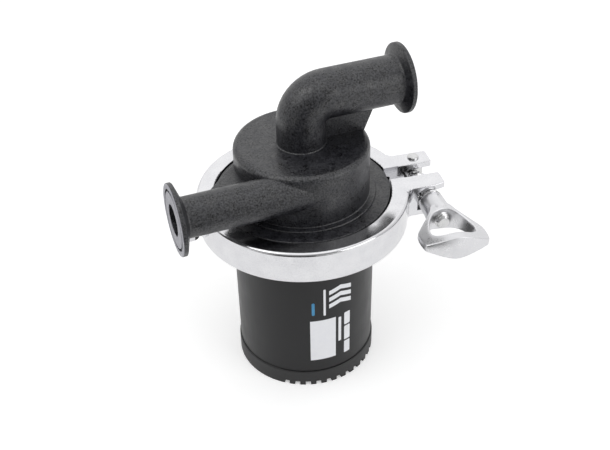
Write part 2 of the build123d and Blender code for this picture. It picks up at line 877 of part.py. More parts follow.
# Panel socket for the power lead, screwed into the pad from outside
socket_back_y = pad_y - socket_length
collar_y = pad_y + socket_flange
mouth_y = collar_y + socket_collar
mouth_floor_y = mouth_y - socket_mouth_depth
socket_flange_r = socket_barrel_r + socket_flange_wall
socket_collar_r = socket_barrel_r + socket_collar_wall
socket_mouth_r = socket_barrel_r - socket_mouth_gap
socket_core_r = socket_barrel_r - socket_core_wall
with BuildPart() as power_socket:
    with BuildSketch(Plane.YZ):
        with BuildLine():
            Polyline(
                (socket_back_y, inlet_socket_z + socket_core_r),
                (socket_back_y, inlet_socket_z + socket_barrel_r),
                (pad_y, inlet_socket_z + socket_barrel_r),
                (pad_y, inlet_socket_z + socket_flange_r),
                (collar_y, inlet_socket_z + socket_flange_r),
                (collar_y, inlet_socket_z + socket_collar_r),
                (mouth_y, inlet_socket_z + socket_collar_r),
                (mouth_y, inlet_socket_z + socket_mouth_r),
                (mouth_floor_y, inlet_socket_z + socket_mouth_r),
                (mouth_floor_y, inlet_socket_z + socket_core_r),
                close=True,
            )
        make_face()
    revolve(axis=socket_axis)
power_socket.part.label = "power_socket"

with BuildPart() as socket_insert:
    with BuildSketch(Plane.XZ.offset(-mouth_floor_y)):
        with Locations((0, inlet_socket_z)):
            Circle(socket_core_r)
        with Locations((-pin_offset, inlet_socket_z), (pin_offset, inlet_socket_z)):
            Circle(pin_r, mode=Mode.SUBTRACT)
    extrude(amount=mouth_floor_y - socket_back_y)
socket_insert.part.label = "socket_insert"

pin_tip_y = mouth_floor_y + pin_standout
with BuildPart() as socket_pins:
    with BuildSketch(Plane.XZ.offset(-pin_tip_y)):
        with Locations((-pin_offset, inlet_socket_z), (pin_offset, inlet_socket_z)):
            Circle(pin_r)
    extrude(amount=pin_tip_y - socket_back_y + pin_tail)
    fillet(socket_pins.edges().group_by(Axis.Y)[-1], radius=pin_r / 2)
socket_pins.part.label = "socket_pins"

with BuildPart() as socket_nut:
    with BuildSketch(Plane.XZ.offset(-pad_back_y)):
        with Locations((0, inlet_socket_z)):
            RegularPolygon(nut_across_flats / 2, 6, major_radius=False)
            Circle(socket_barrel_r + fit_gap, mode=Mode.SUBTRACT)
    extrude(amount=nut_thickness)
socket_nut.part.label = "socket_nut"

# Leads from the socket's pins down to the board
pin_tail_y = socket_back_y - pin_tail
lead_drop_y = board_r - lead_inset


def lead_route(x):
    """Route of one lead: back from the pin, round a bend and down to the board."""
    with BuildLine(Plane.YZ.offset(x)) as route:
        FilletPolyline(
            (pin_tail_y, inlet_socket_z),
            (lead_drop_y, inlet_socket_z),
            (lead_drop_y, board_top_z),
            radius=lead_bend,
        )
    return route.line


lead_routes = {x: lead_route(x) for x in (-pin_offset, pin_offset)}
with BuildPart() as power_leads:
    for x, route in lead_routes.items():
        with BuildSketch(Plane.XZ.offset(-pin_tail_y)):
            with Locations((x, inlet_socket_z)):
                Circle(lead_r)
        sweep(path=route)
power_leads.part.label = "power_leads"


def lug_outline(thickness, relieved):
    """Plan of a lug, from inside the ring's wall to its tip, with a rounded root."""
    face_y = clamp_split + thickness
    root_x = sqrt((clamp_outer_r + lug_root) ** 2 - (face_y + lug_root) ** 2)
    root = Vector(root_x, face_y + lug_root)
    ring_point = root * (clamp_outer_r / root.length)
    root_mid = root - (Vector(0, 1) + root.normalized()).normalized() * lug_root
    swing_r = face_y + pivot_y
    tip_angle = asin((lug_tip_x - bolt_x) / swing_r)
    tip_y = swing_r * cos(tip_angle) - pivot_y if relieved else face_y
    base = Line((lug_base_x, clamp_split), (lug_tip_x, clamp_split))
    tip = Line(base @ 1, (lug_tip_x, tip_y))
    if relieved:
        middle = (bolt_x + swing_r * sin(tip_angle / 2), swing_r * cos(tip_angle / 2) - pivot_y)
        ThreePointArc(tip @ 1, middle, (bolt_x, face_y))
        Line((bolt_x, face_y), (root_x, face_y))
    else:
        Line(tip @ 1, (root_x, face_y))
    ThreePointArc((root_x, face_y), root_mid, ring_point)
    Line(ring_point, ring_point * (lug_base_x / clamp_outer_r))
    Line(ring_point * (lug_base_x / clamp_outer_r), (lug_base_x, clamp_split))


def clamp_lug(plan, thickness, relieved):
    """Lug of a clamp half before it's slotted, with rounded corners and edges."""
    with BuildPart() as lug:
        with BuildSketch(plan):
            with BuildLine():
                lug_outline(thickness, relieved)
            make_face()
        extrude(amount=clamp_rise, both=True)
        uprights = lug.edges().filter_by(Axis.Z)
        fillet(uprights.group_by(Axis((0, 0, 0), lug_dir))[-1], radius=lug_corner)
        free = lug.edges().filter_by(lambda e: e.center().dot(lug_dir) > lug_base_x + run_in)
        fillet(free.group_by(Axis.Z)[0] + free.group_by(Axis.Z)[-1], radius=lug_edge)
    return lug.part


def clamp_ring_half(up, thickness, relieved):
    """Half of the clamp ring with its lug; up is 1 for the rear half and -1 for the front."""
    plan = Plane(origin=(0, 0, joint_z), x_dir=lug_dir, z_dir=(0, 0, up))
    slot_end_x = lug_tip_x + run_in
    lip_rise = rim_thickness + loose_gap + (flange_r - clamp_lip_r) * slope
    groove_rise = rim_thickness + loose_gap - (clamp_groove_r - flange_r) * slope
    with BuildPart() as half:
        with BuildSketch(clamp_section):
            with BuildLine():
                Polyline(
                    (clamp_outer_r, -clamp_rise),
                    (clamp_outer_r, clamp_rise),
                    (clamp_lip_r, clamp_rise),
                    (clamp_lip_r, lip_rise),
                    (clamp_groove_r, groove_rise),
                    (clamp_groove_r, -groove_rise),
                    (clamp_lip_r, -lip_rise),
                    (clamp_lip_r, -clamp_rise),
                    close=True,
                )
            make_face()
        revolve(axis=Axis((0, 0, 0), (0, 0, up)), revolution_arc=180)
        rims = half.edges().filter_by(GeomType.CIRCLE)
        fillet(rims.filter_by(lambda e: abs(e.radius - clamp_outer_r) < fit_gap), radius=clamp_edge)
        rims = half.edges().filter_by(GeomType.CIRCLE)
        lips = rims.filter_by(lambda e: abs(e.radius - clamp_lip_r) < fit_gap)
        fillet(lips.group_by(Axis.Z)[0] + lips.group_by(Axis.Z)[-1], radius=clamp_lip_edge)
        # The two ends of the half ring
        with BuildSketch(plan):
            with Locations((clamp_outer_r, 0)):
                Rectangle(clamp_outer_r, clamp_split * 2)
            with Locations((-clamp_outer_r, 0)):
                Rectangle(clamp_outer_r, hinge_split * 2)
        extrude(amount=clamp_height, both=True, mode=Mode.SUBTRACT)
        # Lug, slotted for the bolt
        add(clamp_lug(plan, thickness, relieved))
        with BuildSketch(plan):
            with Locations(((lug_slot_x + slot_end_x) / 2, clamp_split + thickness / 2)):
                Rectangle(slot_end_x - lug_slot_x, thickness * 2)
        extrude(amount=lug_slot / 2, both=True, mode=Mode.SUBTRACT)
    return half.part


def knuckle_outline():
    """Plan of a hinge knuckle: the barrel and the arm that joins it to the ring."""
    arm_r = (clamp_outer_r + clamp_groove_r) / 2
    with BuildSketch() as outline:
        with BuildLine():
            Polyline(
                (hinge_x, knuckle_r),
                (-sqrt(arm_r**2 - knuckle_arm**2), knuckle_arm),
                (-arm_r, hinge_split),
                (hinge_x, hinge_split),
                close=True,
            )
        make_face()
        with Locations((hinge_x, 0)):
            Circle(knuckle_r)
    return outline.sketch


# Rear half of the clamp: lug with the bolt's pivot, and the hinge's two outer knuckles
with BuildPart() as clamp_rear_half:
    add(clamp_ring_half(1, lug_thickness, False))
    with BuildSketch(clamp_plan):
        add(knuckle_outline())
    extrude(amount=clamp_rise, both=True)
    with BuildSketch(clamp_plan):
        with Locations((hinge_x, 0)):
            Circle(knuckle_r + loose_gap)
    extrude(amount=knuckle_half + loose_gap, both=True, mode=Mode.SUBTRACT)
    with BuildSketch(clamp_plan):
        with Locations((hinge_x, 0), (bolt_x, pivot_y)):
            Circle(pin_shank_r)
    extrude(amount=clamp_height, both=True, mode=Mode.SUBTRACT)
clamp_rear_half.part.label = "clamp_rear_half"

# Front half: lug that takes the nut's push, and the hinge's middle knuckle
front_plan = Plane(origin=(0, 0, joint_z), x_dir=lug_dir, z_dir=(0, 0, -1))
with BuildPart() as clamp_front_half:
    add(clamp_ring_half(-1, lug_front_thickness, True))
    with BuildSketch(front_plan):
        add(knuckle_outline())
    extrude(amount=knuckle_half, both=True)
    with BuildSketch(front_plan):
        with Locations((hinge_x, 0)):
            Circle(pin_shank_r + fit_gap)
    extrude(amount=clamp_height, both=True, mode=Mode.SUBTRACT)
clamp_front_half.part.label = "clamp_front_half"


def headed_pin(centre):
    """Vertical pin through the clamp with a domed head at each end."""
    with BuildPart() as pin:
        with BuildSketch(Plane(origin=centre)):
            Circle(pin_shank_r)
        extrude(amount=clamp_rise, both=True)
        for up in (1, -1):
            with BuildSketch(Plane(origin=centre + Vector(0, 0, clamp_rise * up), z_dir=(0, 0, up))):
                Circle(pin_head_r)
            extrude(amount=pin_head)
        for group in (0, -1):
            fillet(pin.edges().group_by(Axis.Z)[group], radius=pin_dome)
    return pin.part


with BuildPart() as clamp_hinge_pin:
    add(headed_pin(hinge_point))
clamp_hinge_pin.part.label = "clamp_hinge_pin"

with BuildPart() as bolt_pivot_pin:
    add(headed_pin(pivot_point))
bolt_pivot_pin.part.label = "bolt_pivot_pin"

# Swing bolt: eye on the pivot pin and a round shank
with BuildPart() as swing_bolt:
    with BuildSketch(Plane(origin=pivot_point)):
        Circle(eye_outer_r)
    extrude(amount=eye_thickness / 2, both=True)
    fillet(swing_bolt.edges().filter_by(GeomType.CIRCLE), radius=eye_edge)
    with BuildSketch(bolt_section):
        Circle(bolt_r)
    extrude(amount=bolt_reach)
    bolt_end = swing_bolt.faces().sort_by(Axis((0, 0, 0), bolt_dir))[-1]
    chamfer(bolt_end.edges(), length=bolt_chamfer)
    with BuildSketch(Plane(origin=pivot_point)):
        Circle(pin_shank_r + fit_gap)
    extrude(amount=eye_thickness, both=True, mode=Mode.SUBTRACT)
swing_bolt.part.label = "swing_bolt"

# Washer between the nut and the front lug
with BuildPart() as nut_washer:
    with BuildSketch(bolt_section.offset(washer_start)):
        Circle(washer_r)
        Circle(bolt_r + slip_gap, mode=Mode.SUBTRACT)
    extrude(amount=washer_depth)
nut_washer.part.label = "nut_washer"

# Cast wing nut: two wings with a window between them, and a barrel for the hub
flare_slope = (wing_half - nut_barrel_r, wing_start - nut_hub_length)
wing_normal = wing_plan.z_dir
lens_r = (wing_half**2 + (wing_mid - wing_tip) ** 2) / (wing_mid - wing_tip) / 2
with BuildPart() as wing_nut:
    # Plan of the wings
    with BuildSketch(wing_plan) as plan:
        with BuildLine():
            Line((0, nut_hub_length / 2), (nut_hub_r, nut_hub_length / 2))
            hub_side = Line((nut_hub_r, nut_hub_length / 2), (nut_barrel_r, nut_hub_length))
            flare = Spline(hub_side @ 1, (wing_half, wing_start), tangents=((0, 1), flare_slope))
            tip_side = Line(flare @ 1, (wing_half, wing_end))
            ThreePointArc((wing_half, wing_end), (0, wing_end + wing_crown), (-wing_half, wing_end))
            mirror(objects=[hub_side, flare, tip_side], about=Plane.YZ)
            Line((-nut_hub_r, nut_hub_length / 2), (0, nut_hub_length / 2))
        make_face()
        fillet(plan.vertices().group_by(Axis.Y)[-1], radius=wing_corner)
    extrude(amount=nut_barrel_r * 2, both=True)
    # Lens section of the wings, where two circles overlap
    with BuildSketch(wing_section):
        with Locations((0, wing_mid - lens_r)):
            Circle(lens_r)
        with Locations((0, lens_r - wing_mid)):
            Circle(lens_r, mode=Mode.INTERSECT)
    extrude(amount=wing_end + wing_crown + run_in, mode=Mode.INTERSECT)
    # Window
    with BuildSketch(wing_plan) as window:
        with BuildLine():
            Polyline(
                (window_top_half, window_start),
                (window_half, window_shoulder),
                (window_end_half, window_end),
                (-window_end_half, window_end),
                (-window_half, window_shoulder),
                (-window_top_half, window_start),
                close=True,
            )
        make_face()
        fillet(window.vertices(), radius=window_corner)
    extrude(amount=nut_barrel_r * 2, both=True, mode=Mode.SUBTRACT)
    # Rounded edges round the wings and the window
    wing_edges = wing_nut.edges().filter_by(lambda e: (e.center() - nut_origin).dot(bolt_dir) > nut_hub_length)
    rims = wing_edges.filter_by(lambda e: abs((e @ 1 - e @ 0).dot(wing_normal)) < wing_tip / 2)
    fillet(rims, radius=nut_edge)
    # Barrel and the threaded bore
    with BuildSketch(wing_plan):
        with BuildLine():
            Line((0, 0), (nut_hub_r, 0))
            side = Spline(
                (nut_hub_r, 0),
                (nut_barrel_r, nut_hub_length),
                (wing_mid - nut_edge, window_start - nut_edge),
                tangents=((nut_swell, nut_hub_length), (-1, 1)),
            )
            Polyline(side @ 1, (0, window_start - nut_edge), (0, 0))
        make_face()
    revolve(axis=Axis(nut_origin, bolt_dir))
    with BuildSketch(wing_section):
        Circle(bolt_r + fit_gap)
    extrude(amount=(window_start + window_end) / 2, mode=Mode.SUBTRACT)
wing_nut.part.label = "wing_nut"

# Write every piece to its own file
pieces = [
    pump_head,
    head_seal,
    isolation_can,
    pump_shaft,
    rear_thrust_washer,
    front_thrust_washer,
    rear_bush,
    front_bush,
    impeller,
    rotor_magnet,
    motor_housing,
    stator_core,
    stator_coils,
    phase_leads,
    driver_board,
    board_parts,
    board_screws,
    base_cover,
    base_seal,
    base_screws,
    power_socket,
    socket_insert,
    socket_pins,
    socket_nut,
    power_leads,
    clamp_rear_half,
    clamp_front_half,
    clamp_hinge_pin,
    bolt_pivot_pin,
    swing_bolt,
    nut_washer,
    wing_nut,
]
os.makedirs("parts", exist_ok=True)
for piece in pieces:
    export_step(piece.part, f"parts/{piece.part.label}.step")
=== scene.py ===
"""Brewing pump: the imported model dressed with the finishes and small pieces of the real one."""

import logging
from dataclasses import dataclass
from enum import Enum
from math import atan2, ceil, cos, hypot, pi, radians, sin
from typing import Any

import bmesh
import bpy
from mathutils import Matrix, Vector


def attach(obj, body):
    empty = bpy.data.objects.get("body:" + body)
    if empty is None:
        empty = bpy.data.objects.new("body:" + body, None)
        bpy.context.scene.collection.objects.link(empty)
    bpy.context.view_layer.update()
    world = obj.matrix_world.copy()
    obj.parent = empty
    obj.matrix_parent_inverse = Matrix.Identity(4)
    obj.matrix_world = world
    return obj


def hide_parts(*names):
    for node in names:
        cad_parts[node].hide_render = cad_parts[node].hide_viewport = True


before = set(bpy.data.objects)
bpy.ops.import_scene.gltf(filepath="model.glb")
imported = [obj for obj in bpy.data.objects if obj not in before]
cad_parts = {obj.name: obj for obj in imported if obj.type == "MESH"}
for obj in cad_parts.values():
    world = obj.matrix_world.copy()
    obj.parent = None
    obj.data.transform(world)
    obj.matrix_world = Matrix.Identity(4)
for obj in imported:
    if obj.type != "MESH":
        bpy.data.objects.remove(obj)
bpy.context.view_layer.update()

log = logging.getLogger("brewing_pump")

Point = tuple[float, float]

MM = 0.001  # metres in a millimetre
WHITE = (1.0, 1.0, 1.0, 1.0)
NOISE = (0.3, 0.7)  # a noise texture seldom leaves this range
NOISE_SUM = (0.7, 1.3)  # and two of them added up seldom leave this one
FINE_DETAIL, BROAD_DETAIL = 3.0, 2.0  # octaves of a finish's fine and broad pattern
LEAST_ROUGHNESS = 0.02
LEAST_SWELL_MM = 0.001
MIDDLE_SPECULAR = 0.5  # the shader's own strength of reflections
MIX_SHARE, MIX_FIRST, MIX_SECOND, MIX_RESULT = 0, 6, 7, 2  # a Mix node's sockets for colours
WELD = 0.0005 * MM  # vertices nearer to each other than this are one
SHARP_ANGLE = radians(32)  # an edge that turns by more than this is drawn sharp


# Finishes


def linear(colour: str) -> tuple[float, float, float, float]:
    """Turn an sRGB hex colour into linear light.

    Args:
        colour: The colour as "#rrggbb".

    Returns:
        Linear red, green and blue, with an alpha of 1.
    """
    values = [int(colour[i : i + 2], 16) / 255 for i in (1, 3, 5)]
    red, green, blue = (v / 12.92 if v <= 0.04045 else ((v + 0.055) / 1.055) ** 2.4 for v in values)
    return red, green, blue, 1.0


def add_node(
    tree: bpy.types.NodeTree, kind: str, inputs: dict[Any, Any] | None = None, **settings: Any
) -> bpy.types.Node:
    """Add a shader node with its settings and links.

    Args:
        tree: The node tree that takes the node.
        kind: The node's type name.
        inputs: Values or sockets for the node's inputs, by name or number.
        **settings: Properties of the node itself.

    Returns:
        The new node.
    """
    node = tree.nodes.new(kind)
    for name, value in settings.items():
        setattr(node, name, value)
    for key, value in (inputs or {}).items():
        if isinstance(value, bpy.types.NodeSocket):
            tree.links.new(value, node.inputs[key])
        else:
            node.inputs[key].default_value = value
    return node


def empty_tree(owner: bpy.types.Material | bpy.types.World) -> bpy.types.NodeTree:
    """Give a new material or world an empty node tree.

    Args:
        owner: The material or world.

    Returns:
        Its node tree.
    """
    owner.use_nodes = True
    owner.node_tree.nodes.clear()
    return owner.node_tree


def ray_kinds(tree: bpy.types.NodeTree) -> tuple[bpy.types.NodeSocket, bpy.types.NodeSocket]:
    """Tell the camera's own rays and the mirrored ones from the rest.

    Args:
        tree: The node tree that takes the nodes.

    Returns:
        A socket that is 1 for the camera's rays, and one that is 1 for mirrored or refracted ones.
    """
    path = add_node(tree, "ShaderNodeLightPath").outputs
    mirrored = add_node(
        tree,
        "ShaderNodeMath",
        {0: path["Is Glossy Ray"], 1: path["Is Transmission Ray"]},
        operation="MAXIMUM",
    ).outputs[0]
    return path["Is Camera Ray"], mirrored


class Grain(Enum):
    """How a surface's fine pattern lies: how much finer than its size it is along X, Y and Z."""

    EVEN = (1.0, 1.0, 1.0)
    UPRIGHT = (1.0, 1.0, 0.04)
    TURNED = (0.15, 0.15, 8.0)


@dataclass(frozen=True)
class Finish:
    """A real material and how its surface was made.

    Attributes:
        name: Common name of the material and its surface.
        colour: Main colour, sRGB.
        fleck: Colour of the darker or lighter flecks, sRGB.
        roughness: Roughness of the main surface.
        metallic: 1 for bare metal.
        ior: Index of refraction. Bare metal keeps the shader's own.
        grain: How the fine pattern lies.
        grain_mm: Size of the fine pattern.
        cloud_mm: Size of the broad variation under it.
        relief_mm: Height of the fine pattern.
        swell_mm: Height of the broad variation.
        contrast: Share of the fleck colour at most.
        spread: How far the roughness strays either way.
        coat: Weight of a clear coat.
        glint: How far the fine pattern varies the strength of reflections.
    """

    name: str
    colour: str
    fleck: str
    roughness: float
    metallic: float = 0.0
    ior: float = 1.5
    grain: Grain = Grain.EVEN
    grain_mm: float = 0.5
    cloud_mm: float = 6.0
    relief_mm: float = 0.01
    swell_mm: float = 0.0
    contrast: float = 0.5
    spread: float = 0.05
    coat: float = 0.0
    glint: float = 0.0

    def build(self) -> bpy.types.Material:
        """Make the material.

        Returns:
            The finished material.
        """
        material = bpy.data.materials.new(self.name)
        tree = empty_tree(material)
        place = add_node(tree, "ShaderNodeTexCoord").outputs["Object"]
        laid = add_node(
            tree, "ShaderNodeMapping", {"Vector": place, "Scale": self.grain.value}
        ).outputs[0]
        fine, broad = (
            add_node(
                tree,
                "ShaderNodeTexNoise",
                {"Vector": vector, "Scale": 1 / (size * MM), "Detail": detail},
            ).outputs[0]
            for vector, size, detail in (
                (laid, self.grain_mm, FINE_DETAIL),
                (place, self.cloud_mm, BROAD_DETAIL),
            )
        )
        both = add_node(tree, "ShaderNodeMath", {0: fine, 1: broad}, operation="ADD").outputs[0]
        mixed = {"Value": both, "From Min": NOISE_SUM[0], "From Max": NOISE_SUM[1]}
        share = add_node(
            tree, "ShaderNodeMapRange", {**mixed, "To Max": self.contrast}
        ).outputs[0]
        colour = add_node(
            tree,
            "ShaderNodeMix",
            {MIX_SHARE: share, MIX_FIRST: linear(self.colour), MIX_SECOND: linear(self.fleck)},
            data_type="RGBA",
        ).outputs[MIX_RESULT]
        rough = add_node(
            tree,
            "ShaderNodeMapRange",
            {
                **mixed,
                "To Min": max(self.roughness - self.spread, LEAST_ROUGHNESS),
                "To Max": self.roughness + self.spread,
            },
        ).outputs[0]
        swell = add_node(
            tree,
            "ShaderNodeBump",
            {"Height": broad, "Distance": max(self.swell_mm, LEAST_SWELL_MM) * MM, "Strength": 1.0},
        ).outputs[0]
        relief = add_node(
            tree,
            "ShaderNodeBump",
            {"Height": fine, "Distance": self.relief_mm * MM, "Strength": 1.0, "Normal": swell},
        ).outputs[0]
        inputs = {
            "Base Color": colour,
            "Roughness": rough,
            "Normal": relief,
            "Metallic": self.metallic,
            "Coat Weight": self.coat,
        }
        if self.metallic < 1:
            inputs["IOR"] = self.ior
        if self.glint > 0:
            inputs["Specular IOR Level"] = add_node(
                tree,
                "ShaderNodeMapRange",
                {
                    "Value": fine,
                    "From Min": NOISE[0],
                    "From Max": NOISE[1],
                    "To Min": MIDDLE_SPECULAR - self.glint,
                    "To Max": MIDDLE_SPECULAR + self.glint,
                },
            ).outputs[0]
        shader = add_node(tree, "ShaderNodeBsdfPrincipled", inputs)
        add_node(tree, "ShaderNodeOutputMaterial", {"Surface": shader.outputs[0]})
        return material


# The picture shows about two pixels to a millimetre. A grain that is too fine for that is drawn
# coarser than it is, as coarse as it needs to show, and the finish's comment says from what size.

# Glass-filled polysulfone, injection moulded: near black, with a soft gloss and a fine pale fleck.
# The real fleck of about 0.2 mm is drawn at 0.8 mm, so that it shows
HEAD_PLASTIC = Finish(
    "glass_filled_polysulfone",
    "#0b0b0e",
    "#23242b",
    0.4,
    ior=1.7,
    grain_mm=0.8,
    cloud_mm=3.5,
    relief_mm=0.04,
    swell_mm=0.012,
    contrast=0.8,
    spread=0.16,
    glint=0.28,
)
# Deep-drawn aluminium under satin black powder: even, with a faint upright drawing grain. The
# real lines, about 0.2 mm wide, are drawn at 0.9 mm
CAN_PAINT = Finish(
    "satin_black_powder_coat",
    "#0e0e10",
    "#17171a",
    0.38,
    ior=1.44,
    grain=Grain.UPRIGHT,
    grain_mm=0.9,
    cloud_mm=9.0,
    relief_mm=0.002,
    swell_mm=0.006,
)
# ABS, injection moulded with a fine spark-eroded texture: dull, a little paler than the can. Its
# pits of about 0.1 mm are drawn at 0.35 mm
BASE_PLASTIC = Finish(
    "black_abs",
    "#141415",
    "#212123",
    0.5,
    ior=1.54,
    grain_mm=0.35,
    cloud_mm=5.0,
    relief_mm=0.01,
)
# Stainless steel, investment cast and mirror polished: bright, with the soft 7 mm waves of hand
# polishing. The marks of the last grit, under 0.1 mm, are drawn at 0.7 mm and very faint
CAST_STAINLESS = Finish(
    "polished_cast_stainless",
    "#dfdfe1",
    "#cbcbcf",
    0.13,
    metallic=1.0,
    grain_mm=0.7,
    cloud_mm=7.0,
    relief_mm=0.0015,
    swell_mm=0.03,
)
# Stainless steel, investment cast and tumbled: a satin sheen that blurs what it mirrors. The
# 0.2 mm dents of the tumbling are drawn at 0.6 mm
NUT_STAINLESS = Finish(
    "tumbled_cast_stainless",
    "#dcdcde",
    "#cacace",
    0.31,
    metallic=1.0,
    grain_mm=0.6,
    cloud_mm=5.0,
    relief_mm=0.001,
    swell_mm=0.008,
    contrast=0.4,
    spread=0.06,
)
# Stainless bar, turned and thread rolled: bright, with faint darker streaks. Rolling marks of
# about 0.1 mm are drawn at 0.4 mm
BOLT_STEEL = Finish(
    "rolled_stainless_bolt",
    "#d6d6d6",
    "#b4b4b6",
    0.18,
    metallic=1.0,
    grain_mm=0.4,
    cloud_mm=3.0,
    relief_mm=0.003,
    contrast=0.6,
    spread=0.08,
)
# Silicone rubber, compression moulded: dull and slightly dusty. Its dust, under 0.1 mm, is drawn
# at 0.5 mm
SEAL_RUBBER = Finish(
    "black_silicone_rubber",
    "#1b1b1c",
    "#2b2a29",
    0.72,
    ior=1.41,
    grain_mm=0.5,
    cloud_mm=4.0,
    relief_mm=0.01,
)
# Polyphenylene sulfide, moulded with thin walls: dark brown-black and smooth. Filler grains of
# about 0.1 mm are drawn at 0.5 mm
ISOLATION_PLASTIC = Finish(
    "moulded_pps",
    "#2c2926",
    "#3d3833",
    0.38,
    ior=1.65,
    grain_mm=0.5,
    cloud_mm=5.0,
    relief_mm=0.006,
)
# Alumina, ground and lapped: ivory white with a faint grinding lay, its rings 0.05 mm wide
CERAMIC = Finish(
    "lapped_alumina",
    "#ece7dc",
    "#dcd5c6",
    0.22,
    ior=1.76,
    grain=Grain.TURNED,
    grain_mm=0.4,
    cloud_mm=4.0,
    relief_mm=0.001,
)
# Carbon graphite, pressed and machined: dark grey with a dull sheen and 0.05 mm tool rings
BUSH_CARBON = Finish(
    "machined_carbon_graphite",
    "#2d2d30",
    "#46464a",
    0.48,
    ior=1.8,
    grain=Grain.TURNED,
    grain_mm=0.4,
    cloud_mm=2.0,
    relief_mm=0.004,
)
# Polypropylene, injection moulded: off white and a little waxy. The mould's texture of about
# 0.1 mm is drawn at 0.6 mm
IMPELLER_PLASTIC = Finish(
    "natural_polypropylene",
    "#d9d8d2",
    "#c8c6be",
    0.4,
    ior=1.49,
    grain_mm=0.6,
    cloud_mm=6.0,
    relief_mm=0.006,
)
# Ferrite, sintered and ground: charcoal with tiny pits. Pits of about 0.1 mm are drawn at 0.3 mm
MAGNET = Finish(
    "ground_ferrite",
    "#37373a",
    "#202022",
    0.55,
    ior=2.2,
    grain_mm=0.3,
    cloud_mm=2.0,
    relief_mm=0.02,
    contrast=0.8,
)
# Silicon steel sheets, punched and stacked: blue grey with the level lines of the sheets' edges
STATOR_STEEL = Finish(
    "stacked_silicon_steel",
    "#8b8e93",
    "#5e6166",
    0.42,
    metallic=1.0,
    grain=Grain.TURNED,
    grain_mm=1.2,
    cloud_mm=5.0,
    relief_mm=0.03,
    contrast=0.8,
)
# Enamelled copper wire of 0.45 mm, wound: amber red with the fine lines of its turns
COPPER = Finish(
    "enamelled_copper_winding",
    "#b5622f",
    "#7a3a19",
    0.34,
    metallic=1.0,
    grain=Grain.UPRIGHT,
    grain_mm=0.45,
    cloud_mm=3.0,
    relief_mm=0.08,
    contrast=0.8,
    coat=0.6,
)
# Silicone wire sheath, extruded: dull black and smooth. Its bloom, under 0.1 mm, is drawn at
# 0.5 mm
LEAD_BLACK = Finish(
    "extruded_wire_sheath",
    "#1f1f21",
    "#303033",
    0.5,
    ior=1.45,
    grain_mm=0.5,
    cloud_mm=4.0,
    relief_mm=0.004,
)
# Glass epoxy board under green solder mask: glossy, with the 0.6 mm weave of the glass and paler
# tracks beneath
BOARD_GREEN = Finish(
    "green_solder_mask",
    "#17553a",
    "#2c7a52",
    0.25,
    ior=1.55,
    grain_mm=0.6,
    cloud_mm=2.2,
    relief_mm=0.008,
    contrast=0.8,
    coat=0.4,
)
# Epoxy moulding compound of chips and can sleeves: matt and dark. Filler grains of about 0.1 mm
# are drawn at 0.25 mm
BOARD_BLACK = Finish(
    "moulded_epoxy_package",
    "#202022",
    "#323234",
    0.5,
    ior=1.55,
    grain_mm=0.25,
    cloud_mm=2.0,
    relief_mm=0.008,
)
# Zinc-plated steel, cold headed: pale grey with a faint cloud. Plating grains of about 0.1 mm are
# drawn at 0.4 mm
SCREW_STEEL = Finish(
    "zinc_plated_screw",
    "#b9babc",
    "#8f9092",
    0.3,
    metallic=1.0,
    grain_mm=0.4,
    cloud_mm=1.5,
    relief_mm=0.004,
    contrast=0.6,
)
# Nickel-plated brass, turned: warm bright grey. Tool marks of about 0.1 mm are drawn at 0.3 mm and
# the same every way, because the socket's axis lies level
SOCKET_METAL = Finish(
    "nickel_plated_brass",
    "#c9c5bc",
    "#a8a399",
    0.22,
    metallic=1.0,
    grain_mm=0.3,
    cloud_mm=2.0,
    relief_mm=0.003,
)
# Nylon insulator of the socket, moulded: soft black with a low sheen. The mould's texture of about
# 0.1 mm is drawn at 0.3 mm
SOCKET_PLASTIC = Finish(
    "black_nylon_insert",
    "#1e1e20",
    "#2e2e30",
    0.45,
    ior=1.53,
    grain_mm=0.3,
    cloud_mm=2.0,
    relief_mm=0.008,
)
# Gold flash over nickel on the socket's pins: a warm yellow gleam. Plating grains of under 0.1 mm
# are drawn at 0.2 mm
PIN_GOLD = Finish(
    "gold_flashed_pin",
    "#e3b65c",
    "#c3903a",
    0.2,
    metallic=1.0,
    grain_mm=0.2,
    cloud_mm=1.0,
    relief_mm=0.002,
)
# White screen ink, cured on the powder coat: flat, with a faint edge. Pigment grains of under
# 0.1 mm are drawn at 0.25 mm
WHITE_INK = Finish(
    "white_screen_ink",
    "#f3f4f7",
    "#e8e9ef",
    0.48,
    ior=1.5,
    grain_mm=0.25,
    cloud_mm=4.0,
    relief_mm=0.003,
)
# Blue screen ink, used for one small mark: as flat and fine as the white
BLUE_INK = Finish(
    "blue_screen_ink",
    "#3c86b4",
    "#56a0cb",
    0.48,
    ior=1.5,
    grain_mm=0.25,
    cloud_mm=4.0,
    relief_mm=0.003,
)


